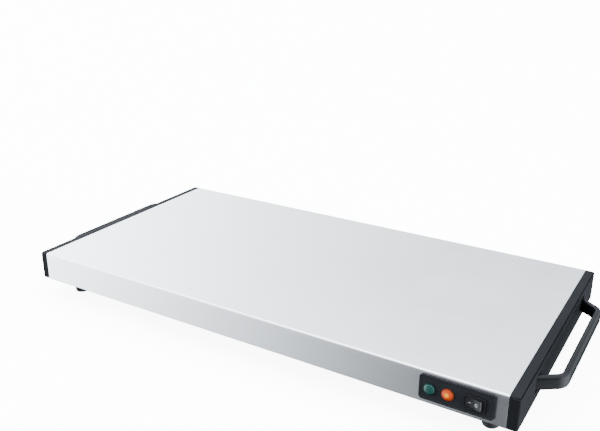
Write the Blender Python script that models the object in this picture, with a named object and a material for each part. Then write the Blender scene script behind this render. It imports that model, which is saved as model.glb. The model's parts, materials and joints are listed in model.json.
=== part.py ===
"""Electric food warmer tray: a low stainless hot plate between two moulded end caps.

Metres, +Z up. The origin is on the floor under the middle of the body, +X runs along
the body to the control end, and -Y is the front, where the control panel is.
"""

from math import cos, pi, radians, sin, sqrt, tan

import bmesh
import bpy
from mathutils import Matrix, Vector

# Overall body
body_length = 0.620
body_depth = 0.312
housing_height = 0.0361
foot_height = 0.0234
fitting_rise = 0.0008
sheet = 0.0008
fold_radius = 0.0025
flange_width = 0.014
touch_gap = 0.0003
cut_overrun = 0.002

# End caps
cap_band = 0.0103
cap_wall = 0.0025
cap_edge_radius = 0.0015
tongue_length = 0.010
tongue_wall = 0.002
pocket_depth = 0.005
pocket_margin = 0.0006
pocket_height = 0.0185
boss_radius = 0.0036
boss_height = 0.008

# Handles
handle_root = 0.0938
handle_reach = 0.0210
handle_slope_share = 0.702
handle_thickness = 0.0073
handle_height = 0.0152
handle_edge_radius = 0.0030
handle_knee_radius = 0.0085
handle_pad_thickness = 0.0022
handle_pad_margin = 0.0004
handle_screw_depth = 0.0052

# Feet
foot_inset_x = 0.033
foot_inset_y = 0.0326
foot_top_radius = 0.010
foot_bottom_radius = 0.0086
foot_round = 0.0028
foot_neck_radius = 0.0045
foot_barb_radius = 0.0056
foot_barb_height = 0.0028

# Fasteners
m3_radius = 0.0015
m3_head_radius = 0.0028
m3_head_height = 0.0018
m3_length = 0.008
m4_radius = 0.002
m4_nut_radius = 0.004
m4_nut_height = 0.003
thread_end = 0.0008
edge_screw_inset = 0.009

# Base plate
base_inset = 0.004
vent_length = 0.034
vent_width = 0.004
vent_pitch_x = 0.062
vent_pitch_y = 0.030
vent_columns = 6
vent_rows = 2

# Control panel
panel_length = 0.0738
panel_margin = 0.0047
panel_right_margin = 0.0215
panel_corner = 0.0035
panel_proud = 0.0012
panel_rim = 0.0016
panel_rim_proud = 0.0004
panel_lip = 0.0016
plug_back = 0.004
barb_length = 0.008
barb_reach = 0.0011
barb_depth = 0.0016
control_drop = 0.0006

# Pilot lamps
lamp_shares = {"green": 0.148, "amber": 0.392}
lens_radius = 0.0062
lens_flange = 0.001
lens_dome = 0.0024
lens_wall = 0.0009
lens_stem_radius = 0.0044
lens_stem = 0.004
lamp_body_radius = 0.005
lamp_body_wall = 0.0003
lamp_body_depth = 0.020
lamp_back = 0.0015
bulb_radius = 0.0026
bulb_length = 0.011

# Rocker switch
switch_share = 0.738
switch_bezel_length = 0.0211
switch_bezel_height = 0.0149
switch_bezel_thickness = 0.0015
switch_body_length = 0.019
switch_body_height = 0.013
switch_body_depth = 0.0175
switch_side_wall = 0.0008
switch_flat_wall = 0.0013
switch_pivot_depth = 0.0035
switch_well = 0.006
wing_reach = 0.0012
wing_depth = 0.0034
wing_height = 0.006
rocker_clearance = 0.0003
rocker_tilt = radians(11)
rocker_corner_angle = radians(34)
rocker_skirt_angle = radians(26)
rocker_pin_radius = 0.0012
rocker_pin_reach = 0.0011
tab_length = 0.0075
tab_width = 0.0048
tab_thickness = 0.0008
switch_tab_spacing = 0.009

# Cord gland and terminal block
gland_from_end = 0.048
gland_bore = 0.004
gland_flange_radius = 0.0095
gland_flange = 0.0026
gland_nose_radius = 0.0062
gland_neck_radius = 0.007
gland_inner_length = 0.0125
gland_barb_radius = 0.0082
gland_barb_length = 0.003
block_from_end = 0.088
block_from_rear = 0.022
block_length = 0.030
block_depth = 0.014
block_height = 0.012
pole_pitch = 0.009
pole_bore = 0.0018
pole_height = 0.0055
well_radius = 0.0024
well_depth = 0.0042
peg_radius = 0.0015
peg_reach = 0.0006

# Earth point
earth_offset_x = 0.030
earth_offset_y = 0.012
earth_stud_height = 0.009
earth_flange_radius = 0.0034
earth_flange = 0.0006
ring_radius = 0.0042
ring_thickness = 0.0008

# Heating stack under the top
spreader_end_margin = 0.0437
spreader_side_margin = 0.037
spreader_thickness = 0.0015
element_radius = 0.00325
run_count = 4
run_margin = 0.029
left_bend_inset = 0.041
right_bend_inset = 0.056
cold_end_reach = 0.004
strap_inset = 0.088
strap_width = 0.014
strap_thickness = 0.001
strap_ear = 0.014
cover_boss_radius = 0.004
shoulder_radius = 0.006
bolt_head_radius = 0.0085
bolt_head_height = 0.0018
tray_inset = 0.002
tray_sheet = 0.0006
wiring_space = 0.0144
blanket_clearance = 0.0008
window_left_margin = 0.029
window_right_margin = 0.024
window_half_depth = 0.017
element_collar = 0.003
element_collar_size = 0.0046
element_tab = 0.009

# Thermostat and thermal fuse
thermostat_to_fuse = 0.041
cup_radius = 0.0082
cup_height = 0.0036
cup_lip_radius = 0.0095
cup_lip = 0.0006
thermostat_radius = 0.0078
thermostat_height = 0.0085
bracket_length = 0.033
bracket_width = 0.014
bracket_thickness = 0.0008
bracket_hole_pitch = 0.0125
thermostat_tab_reach = 0.008
fuse_to_strap = 0.043
fuse_radius = 0.002
fuse_length = 0.011
fuse_pin_radius = 0.0006
fuse_pin_length = 0.005
fuse_clip_width = 0.005
fuse_clip_sheet = 0.0006
fuse_clip_foot = 0.006
fuse_clip_pin = 0.0012

# Leads
lead_radius = 0.0013
lamp_lead_radius = 0.0009
lamp_lead_spacing = 0.0034
lead_bend = 0.012
lane_edge = 0.0032
riser_clearance = 0.0051

round_steps = 12
fine_steps = 20
arc_steps = 4
bend_steps = 8
handle_knee_steps = 6

# Heights and places that follow from the sizes above
bottom = foot_height
top = foot_height + housing_height
middle = foot_height + housing_height / 2
fitting_z = middle + fitting_rise
half_length = body_length / 2
half_depth = body_depth / 2
cover_half = half_length - cap_band
base_top = bottom - touch_gap
base_bottom = base_top - sheet
foot_x = half_length - foot_inset_x
foot_y = half_depth - foot_inset_y
screw_x = cover_half - tongue_length / 2
screw_y = half_depth - edge_screw_inset
control_z = fitting_z - control_drop
panel_height = housing_height - 2 * panel_margin
panel_x = half_length - panel_right_margin - panel_length / 2
panel_face = half_depth + panel_proud
panel_left = panel_x - panel_length / 2
switch_x = panel_left + switch_share * panel_length
bezel_front = panel_face + touch_gap + switch_bezel_thickness
pivot_y = -(bezel_front - switch_pivot_depth)
well_half = switch_body_length / 2 - switch_side_wall
well_height = switch_body_height / 2 - switch_flat_wall
rocker_radius = well_half - rocker_clearance
rocker_front = rocker_radius * sin(rocker_corner_angle + rocker_tilt)
front_proud = rocker_front - pivot_y - half_depth
spreader_top = top - sheet - touch_gap
spreader_bottom = spreader_top - spreader_thickness
element_z = spreader_bottom - touch_gap - element_radius
strap_top = spreader_bottom - touch_gap
strap_bottom = strap_top - strap_thickness
tray_floor = base_top + wiring_space
spreader_length = 2 * (cover_half - spreader_end_margin)
spreader_depth = body_depth - 2 * spreader_side_margin
run_spacing = (spreader_depth - 2 * run_margin) / (run_count - 1)
left_bend_x = -spreader_length / 2 + left_bend_inset
right_bend_x = spreader_length / 2 - right_bend_inset
strap_x = spreader_length / 2 - strap_inset
fuse_x = strap_x - fuse_to_strap
fuse_z = spreader_bottom - touch_gap - fuse_radius
thermostat_x = fuse_x - thermostat_to_fuse
window_left = thermostat_x - window_left_margin
window_right = fuse_x + window_right_margin
block_x = half_length - block_from_end
block_y = half_depth - block_from_rear
gland_x = half_length - gland_from_end
low_lane = base_top + lane_edge
high_lane = tray_floor - lane_edge
middle_lane = (low_lane + high_lane) / 2
riser_x = cover_half - tongue_length - riser_clearance


def clear_scene():
    """Take away whatever the file held before."""
    for thing in list(bpy.data.objects):
        bpy.data.objects.remove(thing, do_unlink=True)


def finish_material(name, colour, roughness, metallic):
    """One Principled material for one piece."""
    material = bpy.data.materials.new(name + "_finish")
    material.use_nodes = True
    shader = material.node_tree.nodes["Principled BSDF"]
    shader.inputs["Base Color"].default_value = (*colour, 1.0)
    shader.inputs["Roughness"].default_value = roughness
    shader.inputs["Metallic"].default_value = metallic
    return material


STEEL = ((0.72, 0.73, 0.74), 0.32, 1.0)
ALUMINIUM = ((0.78, 0.79, 0.80), 0.42, 1.0)
ZINC = ((0.62, 0.63, 0.64), 0.40, 1.0)
BRASS = ((0.72, 0.55, 0.24), 0.35, 1.0)
DARK_PLASTIC = ((0.035, 0.038, 0.043), 0.52, 0.0)
PANEL_PLASTIC = ((0.022, 0.024, 0.028), 0.45, 0.0)
BLACK_PLASTIC = ((0.012, 0.012, 0.013), 0.38, 0.0)
RUBBER = ((0.010, 0.010, 0.010), 0.75, 0.0)
SHEATH = ((0.30, 0.31, 0.32), 0.45, 1.0)
WOOL = ((0.80, 0.79, 0.74), 0.95, 0.0)
CERAMIC = ((0.83, 0.81, 0.76), 0.60, 0.0)
GREEN_LENS = ((0.02, 0.22, 0.18), 0.18, 0.0)
AMBER_LENS = ((0.95, 0.30, 0.03), 0.18, 0.0)
CLEAR_GLASS = ((0.80, 0.82, 0.82), 0.08, 0.0)
BROWN_WIRE = ((0.20, 0.09, 0.04), 0.55, 0.0)
BLUE_WIRE = ((0.04, 0.12, 0.42), 0.55, 0.0)
WHITE_WIRE = ((0.75, 0.75, 0.72), 0.55, 0.0)
GREEN_WIRE = ((0.20, 0.42, 0.08), 0.55, 0.0)


def new_object(name, bm, finish, location=(0, 0, 0), rotation_z=0.0):
    """Turn a bmesh into a named object with its own material."""
    bmesh.ops.recalc_face_normals(bm, faces=bm.faces)
    mesh = bpy.data.meshes.new(name)
    bm.to_mesh(mesh)
    bm.free()
    mesh.shade_smooth()
    mesh.set_sharp_from_angle(angle=radians(35))
    mesh.materials.append(finish_material(name, *finish))
    thing = bpy.data.objects.new(name, mesh)
    thing.location = location
    thing.rotation_euler.z = rotation_z
    bpy.context.collection.objects.link(thing)
    return thing


def combine(bodies, operation, other):
    """Boolean one bmesh with another and give back the result."""
    base = new_object("base_solid", bodies, DARK_PLASTIC)
    tool = new_object("tool_solid", other, DARK_PLASTIC)
    modifier = base.modifiers.new("shape", "BOOLEAN")
    modifier.operation = operation
    modifier.solver = "EXACT"
    modifier.object = tool
    bpy.context.view_layer.update()
    evaluated = base.evaluated_get(bpy.context.evaluated_depsgraph_get())
    mesh = bpy.data.meshes.new_from_object(evaluated)
    result = bmesh.new()
    result.from_mesh(mesh)
    for thing in (base, tool):
        old = thing.data
        bpy.data.objects.remove(thing, do_unlink=True)
        bpy.data.meshes.remove(old)
    bpy.data.meshes.remove(mesh)
    return result


def cut(bodies, other):
    """Take one bmesh out of another."""
    return combine(bodies, "DIFFERENCE", other)


def fuse(bodies, other):
    """Join one bmesh to another as one solid."""
    return combine(bodies, "UNION", other)


def together(parts):
    """Put several separate solids in one bmesh, to cut or join with."""
    whole = bmesh.new()
    for part in parts:
        mesh = bpy.data.meshes.new("one_of_them")
        bmesh.ops.recalc_face_normals(part, faces=part.faces)
        part.to_mesh(mesh)
        part.free()
        whole.from_mesh(mesh)
        bpy.data.meshes.remove(mesh)
    return whole


def moved(bm, offset):
    """Shift a bmesh."""
    bmesh.ops.translate(bm, verts=bm.verts, vec=Vector(offset))
    return bm


def turned_to(bm, angle, axis):
    """Turn a bmesh about a world axis through its origin."""
    bmesh.ops.rotate(bm, verts=bm.verts, cent=Vector(), matrix=Matrix.Rotation(angle, 3, axis))
    return bm


def mirrored_x(bm):
    """Mirror a bmesh to the other end of the body."""
    bmesh.ops.scale(bm, verts=bm.verts, vec=Vector((-1, 1, 1)))
    return bm


def loft(rings):
    """Skin a row of equal rings and close both ends."""
    bm = bmesh.new()
    rows = [[bm.verts.new(point) for point in ring] for ring in rings]
    count = len(rows[0])
    for low, high in zip(rows, rows[1:]):
        for i in range(count):
            bm.faces.new((low[i], low[(i + 1) % count], high[(i + 1) % count], high[i]))
    bm.faces.new(rows[0])
    bm.faces.new(reversed(rows[-1]))
    return bm


def box(x0, x1, y0, y1, z0, z1):
    """A plain block between two corners."""
    ring = [(x0, y0), (x1, y0), (x1, y1), (x0, y1)]
    return loft([[(x, y, z) for x, y in ring] for z in (z0, z1)])


def prism(outline, axis, low, high):
    """Extrude a flat outline along X, Y or Z."""
    order = {"X": lambda a, b, h: (h, a, b), "Y": lambda a, b, h: (a, h, b), "Z": lambda a, b, h: (a, b, h)}
    rings = [[order[axis](a, b, h) for a, b in outline] for h in (low, high)]
    return loft(rings)


def turned(profile, steps=round_steps):
    """Turn a closed (radius, height) outline round Z; a point on the axis becomes a pole."""
    bm = bmesh.new()
    angles = [2 * pi * i / steps for i in range(steps)]
    columns = []
    for radius, height in profile:
        if radius == 0:
            columns.append([bm.verts.new((0, 0, height))])
        else:
            columns.append([bm.verts.new((radius * cos(a), radius * sin(a), height)) for a in angles])
    for low, high in zip(columns, columns[1:] + columns[:1]):
        if len(low) == len(high) == 1:
            continue
        for i in range(steps):
            j = (i + 1) % steps
            corners = [low[i % len(low)], low[j % len(low)], high[j % len(high)], high[i % len(high)]]
            bm.faces.new(list(dict.fromkeys(corners)))
    return bm


def rod(radius, low, high, steps=round_steps):
    """A plain cylinder round Z."""
    return turned([(0, low), (radius, low), (radius, high), (0, high)], steps)


def along_x(bm):
    """Lay a Z piece down along X."""
    return turned_to(bm, pi / 2, "Y")


def along_y(bm):
    """Lay a Z piece down along Y."""
    return turned_to(bm, -pi / 2, "X")


def arc(centre, radius, start, end, steps=arc_steps):
    """Points on an arc in a plane."""
    angles = [start + (end - start) * i / steps for i in range(steps + 1)]
    return [(centre[0] + radius * cos(a), centre[1] + radius * sin(a)) for a in angles]


def rounded_rect(width, height, radius, centre=(0, 0), steps=arc_steps):
    """Outline of a rectangle with round corners."""
    points = []
    for quarter, (sx, sy) in enumerate(((1, 1), (-1, 1), (-1, -1), (1, -1))):
        corner = (centre[0] + sx * (width / 2 - radius), centre[1] + sy * (height / 2 - radius))
        points += arc(corner, radius, quarter * pi / 2, (quarter + 1) * pi / 2, steps)
    return points


def filleted(points, radius, steps=arc_steps):
    """Round the inner corners of an open path in a plane."""
    result = [Vector(points[0])]
    for before, corner, after in zip(points, points[1:], points[2:]):
        corner = Vector(corner)
        back = (Vector(before) - corner).normalized()
        ahead = (Vector(after) - corner).normalized()
        half_angle = back.angle(ahead) / 2
        reach = radius / tan(half_angle)
        centre = corner + (back + ahead).normalized() * radius / sin(half_angle)
        start = corner + back * reach - centre
        turn = start.angle_signed(corner + ahead * reach - centre)
        for i in range(steps + 1):
            spoke = start.copy()
            spoke.rotate(Matrix.Rotation(-turn * i / steps, 2))
            result.append(centre + spoke)
    result.append(Vector(points[-1]))
    return result


def hex_nut(radius, hole, low, high):
    """A hexagon nut with a round hole."""
    flat = radius * cos(pi / 6)
    angles = [2 * pi * i / round_steps for i in range(round_steps)]
    outer = [((radius if i % 2 == 0 else flat) * cos(a), (radius if i % 2 == 0 else flat) * sin(a))
             for i, a in enumerate(angles)]
    inner = [(hole * cos(a), hole * sin(a)) for a in angles]
    loops = [(outer, low), (outer, high), (inner, high), (inner, low)]
    bm = bmesh.new()
    rows = [[bm.verts.new((x, y, height)) for x, y in loop] for loop, height in loops]
    for row, after in zip(rows, rows[1:] + rows[:1]):
        for i in range(round_steps):
            j = (i + 1) % round_steps
            bm.faces.new((row[i], row[j], after[j], after[i]))
    return bm


def screw(radius, head_radius, head_height, length):
    """A pan-head screw, head below zero and shank above."""
    crown = head_radius - head_height / 2
    return turned([
        (0, -head_height), (crown, -head_height), (head_radius, -head_height / 2), (head_radius, 0),
        (radius, 0), (radius, length - thread_end), (radius - thread_end / 2, length), (0, length),
    ])


def smooth_route(points, steps=2):
    """A Catmull-Rom curve through the points of a route, straight at both of its ends."""
    points = [Vector(p) for p in points]
    first = (points[0] + points[1]) / 2
    last = (points[-1] + points[-2]) / 2
    points = [points[0], first] + points[1:-1] + [last, points[-1]]
    padded = [2 * points[0] - points[1]] + points + [2 * points[-1] - points[-2]]
    route = []
    for a, b, c, d in zip(padded, padded[1:], padded[2:], padded[3:]):
        for i in range(steps):
            t = i / steps
            route.append(0.5 * ((2 * b) + (c - a) * t + (2 * a - 5 * b + 4 * c - d) * t ** 2
                                + (3 * b - a - 3 * c + d) * t ** 3))
    route.append(points[-1])
    return route


def tube(name, route, radius, finish, resolution=2):
    """A round tube along a route, with closed ends."""
    curve = bpy.data.curves.new(name, "CURVE")
    curve.dimensions = "3D"
    curve.bevel_depth = radius
    curve.bevel_resolution = resolution
    curve.use_fill_caps = True
    spline = curve.splines.new("POLY")
    spline.points.add(len(route) - 1)
    for point, place in zip(spline.points, route):
        point.co = (*place, 1)
    spline.use_smooth = True
    curve.materials.append(finish_material(name, *finish))
    thing = bpy.data.objects.new(name, curve)
    bpy.context.collection.objects.link(thing)
    return thing


def tube_solid(route, radius):
    """The same tube as a bmesh, for joining to a solid piece."""
    thing = tube("tube_solid", route, radius, DARK_PLASTIC)
    bpy.context.view_layer.update()
    evaluated = thing.evaluated_get(bpy.context.evaluated_depsgraph_get())
    mesh = bpy.data.meshes.new_from_object(evaluated)
    bm = bmesh.new()
    bm.from_mesh(mesh)
    bmesh.ops.remove_doubles(bm, verts=bm.verts, dist=touch_gap / 10)
    bpy.data.objects.remove(thing, do_unlink=True)
    bpy.data.meshes.remove(mesh)
    return bm


def top_cover():
    """The folded stainless cover: top, fascias, return flanges and two welded bosses."""
    def path(inset):
        side = half_depth - inset
        end = half_depth - flange_width
        corners = [(-end, bottom + inset), (-side, bottom + inset), (-side, top - inset),
                   (side, top - inset), (side, bottom + inset), (end, bottom + inset)]
        return filleted(corners, fold_radius - inset)
    outline = [tuple(p) for p in path(0)] + [tuple(p) for p in reversed(path(sheet))]
    end = cover_half - touch_gap
    cover = prism(outline, "X", -end, end)
    bosses = [moved(rod(cover_boss_radius, strap_bottom, top - sheet / 2), (x, 0, 0)) for x in strap_places()]
    cover = fuse(cover, together(bosses))
    opening = rounded_rect(panel_length - 2 * panel_lip, panel_height - 2 * panel_lip,
                           panel_corner - panel_lip + touch_gap, (panel_x, fitting_z))
    cutters = [prism(opening, "Y", -half_depth - cut_overrun, -half_depth + cut_overrun)]
    hole = rod(gland_neck_radius + touch_gap, -cut_overrun, cut_overrun, fine_steps)
    cutters.append(moved(along_y(hole), (gland_x, half_depth, fitting_z)))
    for x, y in corner_screw_places():
        cutters.append(moved(rod(m3_radius + touch_gap, -cut_overrun, cut_overrun), (x, y, bottom)))
    for x in strap_places():
        cutters.append(moved(rod(m4_radius + touch_gap, strap_bottom - cut_overrun, top - sheet), (x, 0, 0)))
    return new_object("top_cover", cut(cover, together(cutters)), STEEL)


def strap_places():
    return (-strap_x, strap_x)


def corner_screw_places():
    """Base screws, which go up through the flanges into the bosses of the end caps."""
    return [(sx * screw_x, sy * screw_y) for sx in (-1, 1) for sy in (-1, 1)]


def peg_places():
    """Pegs under the terminal block, which snap into the base plate."""
    return [(block_x + side * pole_pitch / 2, block_y) for side in (-1, 1)]


def foot_places():
    return {
        "foot_front_left": (-foot_x, -foot_y), "foot_front_right": (foot_x, -foot_y),
        "foot_rear_left": (-foot_x, foot_y), "foot_rear_right": (foot_x, foot_y),
    }


def base_plate():
    """The flat steel plate that closes the underside, with its vents and holes."""
    plate = box(-half_length + base_inset, half_length - base_inset,
                -half_depth + base_inset, half_depth - base_inset, base_bottom, base_top)
    low = base_bottom - cut_overrun
    high = base_top + cut_overrun
    cutters = []
    for column in range(vent_columns):
        for row in range(vent_rows):
            x = (column - (vent_columns - 1) / 2) * vent_pitch_x
            y = (row - (vent_rows - 1) / 2) * vent_pitch_y
            slot = rounded_rect(vent_length, vent_width, vent_width / 2 - touch_gap, (x, y), 2)
            cutters.append(prism(slot, "Z", low, high))
    holes = [(place, m3_radius) for place in corner_screw_places()]
    holes += [(place, peg_radius) for place in peg_places()]
    holes += [(place, foot_neck_radius) for place in foot_places().values()]
    for (x, y), radius in holes:
        cutters.append(moved(rod(radius + touch_gap, low, high), (x, y, 0)))
    return new_object("base_plate", cut(plate, together(cutters)), ZINC)


def cap_ring(x, inset):
    """One section of an end cap, drawn in from the body's outline."""
    outline = rounded_rect(body_depth - 2 * inset, housing_height - 2 * inset,
                           fold_radius - inset, (0, middle))
    return [(x, y, z) for y, z in outline]


def handle_line_y(x):
    """Where the middle of a handle's leg is, at a distance along X."""
    return handle_root - handle_slope_share * (x - half_length)


def leg_half_width():
    """Half of a leg's width, measured along Y."""
    return handle_thickness / 2 * sqrt(1 + handle_slope_share ** 2)


def pocket_span():
    """The Y extent of the recess round a leg, and the X of its floor."""
    floor = half_length - pocket_depth
    low = handle_root - leg_half_width() - pocket_margin
    high = handle_line_y(floor) + leg_half_width() + pocket_margin
    return low, high, floor


def handle_screw_y():
    """A handle screw sits where both the pad and the leg are thick."""
    floor = pocket_span()[2]
    return handle_line_y(floor + handle_screw_depth / 2)


def cap_shell():
    """The outside of the right end cap with its tongue, hollowed from the inner side."""
    tongue = sheet + touch_gap
    start = cover_half - tongue_length
    rings = [cap_ring(start, tongue), cap_ring(cover_half, tongue), cap_ring(cover_half, 0)]
    for i in range(arc_steps):
        turn = pi / 2 * i / (arc_steps - 1)
        x = half_length - cap_edge_radius * (1 - sin(turn))
        rings.append(cap_ring(x, cap_edge_radius * (1 - cos(turn))))
    wall = tongue + tongue_wall
    inside = rounded_rect(body_depth - 2 * wall, housing_height - 2 * wall, touch_gap, (0, middle), 1)
    return cut(loft(rings), prism(inside, "X", start - cut_overrun, half_length - cap_wall))


def right_cap_solid():
    """The right end cap with its handle pockets and screw bosses; the left one mirrors it."""
    low, high, floor = pocket_span()
    half = pocket_height / 2
    seat = bottom + sheet + touch_gap
    additions = []
    pockets = []
    holes = []
    for side in (-1, 1):
        near, far = sorted((side * low, side * high))
        additions.append(box(floor - cap_wall, half_length - cap_wall / 2, near - cap_wall, far + cap_wall,
                             fitting_z - half - cap_wall, fitting_z + half + cap_wall))
        pockets.append(box(floor, half_length + cut_overrun, near, far, fitting_z - half, fitting_z + half))
        hole = along_x(rod(m3_radius + touch_gap, floor - cap_wall - cut_overrun, floor + cut_overrun))
        holes.append(moved(hole, (0, side * handle_screw_y(), fitting_z)))
        boss = rod(boss_radius, seat + tongue_wall / 2, seat + boss_height)
        additions.append(moved(boss, (screw_x, side * screw_y, 0)))
        pilot = rod(m3_radius + touch_gap, bottom, base_bottom + m3_length)
        holes.append(moved(pilot, (screw_x, side * screw_y, 0)))
    cap = cut(fuse(cap_shell(), together(additions)), together(pockets))
    return cut(cap, together(holes))


def end_caps():
    new_object("right_end_cap", right_cap_solid(), DARK_PLASTIC)
    new_object("left_end_cap", mirrored_x(right_cap_solid()), DARK_PLASTIC)


def handle_bow():
    """The bow itself: two slanted legs, round knees and a straight grip."""
    start_x = pocket_span()[2] + touch_gap
    start_y = handle_line_y(start_x)
    grip_x = half_length + handle_reach
    knee_y = handle_line_y(grip_x)
    corners = [(start_x, start_y), (grip_x, knee_y), (grip_x, -knee_y), (start_x, -start_y)]
    path = filleted(corners, handle_knee_radius, handle_knee_steps)
    section = rounded_rect(handle_thickness, handle_height, handle_edge_radius, (0, fitting_z), 3)
    rings = []
    for i, place in enumerate(path):
        if i in (0, len(path) - 1):
            across = Vector((0, leg_half_width() / (handle_thickness / 2)))
            across *= 1 if i == 0 else -1
        else:
            back = (place - path[i - 1]).normalized()
            ahead = (path[i + 1] - place).normalized()
            along = (back + ahead).normalized()
            across = Vector((-along.y, along.x)) / along.dot(ahead)
            across *= 1 if across.x > 0 else -1
        rings.append([(place.x + across.x * a, place.y + across.y * a, z) for a, z in section])
    return loft(rings)


def right_handle_solid():
    """The right handle: its bow on two pads that sit in the cap's pockets."""
    low, high, floor = pocket_span()
    start_x = floor + touch_gap
    half = pocket_height / 2 - handle_pad_margin
    pads = []
    holes = []
    for side in (-1, 1):
        near, far = sorted((side * (low + handle_pad_margin), side * (high - handle_pad_margin)))
        pads.append(box(start_x, start_x + handle_pad_thickness, near, far,
                        fitting_z - half, fitting_z + half))
        hole_end = floor + handle_screw_depth + touch_gap
        hole = along_x(rod(m3_radius + touch_gap, floor - cut_overrun, hole_end))
        holes.append(moved(hole, (0, side * handle_screw_y(), fitting_z)))
    return cut(fuse(handle_bow(), together(pads)), together(holes))


def handles():
    """Both handles, and the screws that hold them from inside the caps."""
    new_object("right_handle", right_handle_solid(), DARK_PLASTIC)
    new_object("left_handle", mirrored_x(right_handle_solid()), DARK_PLASTIC)
    floor = pocket_span()[2]
    seat = floor - cap_wall - touch_gap
    length = handle_screw_depth + floor - seat
    for end, direction in (("right", 1), ("left", -1)):
        for place, side in (("front", -1), ("rear", 1)):
            one = along_x(screw(m3_radius, m3_head_radius, m3_head_height, length))
            if direction < 0:
                one = mirrored_x(one)
            spot = (direction * seat, side * handle_screw_y(), fitting_z)
            new_object(end + "_handle_screw_" + place, one, ZINC, spot)


def feet():
    """Four tapered rubber feet, whose barbed necks are pushed through the base plate."""
    shoulder = base_bottom - touch_gap
    catch = base_top + touch_gap
    rounding = arc((foot_bottom_radius - foot_round, foot_round), foot_round, -pi / 2, 0, 4)
    tip = catch + foot_barb_height
    profile = [(0, 0)] + rounding + [
        (foot_top_radius, shoulder), (foot_neck_radius, shoulder), (foot_neck_radius, catch),
        (foot_barb_radius, catch), (foot_neck_radius, tip), (0, tip),
    ]
    shared = None
    for name, (x, y) in foot_places().items():
        if shared is None:
            shared = new_object(name, turned(profile, fine_steps), RUBBER, (x, y, 0)).data
            continue
        again = bpy.data.objects.new(name, shared)
        again.location = (x, y, 0)
        bpy.context.collection.objects.link(again)


def base_screws():
    """The four screws that hold the base plate, the cover and the caps together."""
    for x, y in corner_screw_places():
        name = "base_screw_" + ("rear" if y > 0 else "front") + ("_right" if x > 0 else "_left")
        place = (x, y, base_bottom - touch_gap)
        new_object(name, screw(m3_radius, m3_head_radius, m3_head_height, m3_length), ZINC, place)


def lamp_places():
    """The X of each lamp, at its share of the panel's length."""
    return {colour: panel_left + share * panel_length for colour, share in lamp_shares.items()}


def control_panel():
    """The moulded panel: a bezel over the fascia, a plug through it and barbs behind."""
    front = -panel_face - panel_rim_proud
    seat = -half_depth - touch_gap
    back = -half_depth + plug_back
    face = rounded_rect(panel_length, panel_height, panel_corner, (panel_x, fitting_z))
    rim = prism(face, "Y", front, seat)
    plug_length = panel_length - 2 * panel_lip - 2 * touch_gap
    plug_height = panel_height - 2 * panel_lip - 2 * touch_gap
    plug = prism(rounded_rect(plug_length, plug_height, panel_corner - panel_lip, (panel_x, fitting_z)),
                 "Y", seat - panel_proud / 2, back)
    barbs = []
    catch = -half_depth + sheet + touch_gap
    for sx in (-1, 1):
        for sz in (-1, 1):
            x = panel_x + sx * plug_length / 4
            inner = fitting_z + sz * (plug_height / 2 - barb_reach)
            outer = fitting_z + sz * (plug_height / 2 + barb_reach)
            low, high = sorted((inner, outer))
            barbs.append(box(x - barb_length / 2, x + barb_length / 2, catch, catch + barb_depth, low, high))
    panel = fuse(fuse(rim, plug), together(barbs))
    recess = rounded_rect(panel_length - 2 * panel_rim, panel_height - 2 * panel_rim,
                          panel_corner - panel_rim, (panel_x, fitting_z))
    panel = cut(panel, prism(recess, "Y", front - cut_overrun, -panel_face))
    holes = []
    for x in lamp_places().values():
        hole = rod(lamp_body_radius + touch_gap, front - cut_overrun, back + cut_overrun, fine_steps)
        holes.append(moved(along_y(hole), (x, 0, control_z)))
    half_x = switch_body_length / 2 + touch_gap
    half_z = switch_body_height / 2 + touch_gap
    holes.append(box(switch_x - half_x, switch_x + half_x, front - cut_overrun, back + cut_overrun,
                     control_z - half_z, control_z + half_z))
    return new_object("control_panel", cut(panel, together(holes)), PANEL_PLASTIC)


def lens_profile():
    """A domed lens with a flange on the panel and a hollow stem in the lamp's body."""
    dome = lens_radius - lens_wall
    hollow = lens_stem_radius - lens_wall
    peak = lens_flange + lens_dome
    rise = [(dome * cos(a), lens_flange + lens_dome * sin(a)) for a in (pi / 2 * i / 4 for i in range(4))]
    return [
        (hollow, -lens_stem), (lens_stem_radius, -lens_stem), (lens_stem_radius, 0), (lens_radius, 0),
        (lens_radius, lens_flange), *rise, (0, peak), (0, peak - lens_wall),
        (hollow * cos(pi / 4), lens_flange + lens_wall), (hollow, lens_flange - lens_wall / 2),
    ]


def lamp_body():
    """A thin cup, open at the lens, with two holes for its leads in the back wall."""
    bore = lamp_body_radius - lamp_body_wall
    inside = lamp_body_depth - lamp_back
    cup = [(lamp_body_radius, 0), (lamp_body_radius, lamp_body_depth), (0, lamp_body_depth), (0, inside),
           (bore, inside), (bore, 0)]
    holes = []
    for side in (-1, 1):
        hole = rod(lamp_lead_radius + touch_gap, inside - cut_overrun, lamp_body_depth + cut_overrun, 8)
        holes.append(moved(along_y(hole), (side * lamp_lead_spacing / 2, 0, 0)))
    return cut(along_y(turned(cup, fine_steps)), together(holes))


def bulb_foot_y():
    """The back of the neon bulbs, where their leads start."""
    return -panel_face + lamp_body_depth - lamp_back - touch_gap


def pilot_lamps():
    """The green and the amber pilot lamp: lens, body and neon bulb each."""
    tip = bulb_radius / 2
    bulb = [(0, 0), (bulb_radius, 0), (bulb_radius, bulb_length - bulb_radius), (tip, bulb_length - tip / 2),
            (0, bulb_length)]
    finishes = {"green": GREEN_LENS, "amber": AMBER_LENS}
    for colour, x in lamp_places().items():
        lens = turned_to(turned(lens_profile(), fine_steps), pi / 2, "X")
        new_object(colour + "_lamp_lens", lens, finishes[colour], (x, -panel_face - touch_gap, control_z))
        new_object(colour + "_lamp_body", lamp_body(), BLACK_PLASTIC, (x, -panel_face, control_z))
        bulb_solid = turned_to(turned(bulb), pi / 2, "X")
        new_object(colour + "_neon_bulb", bulb_solid, CLEAR_GLASS, (x, bulb_foot_y(), control_z))


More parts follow.
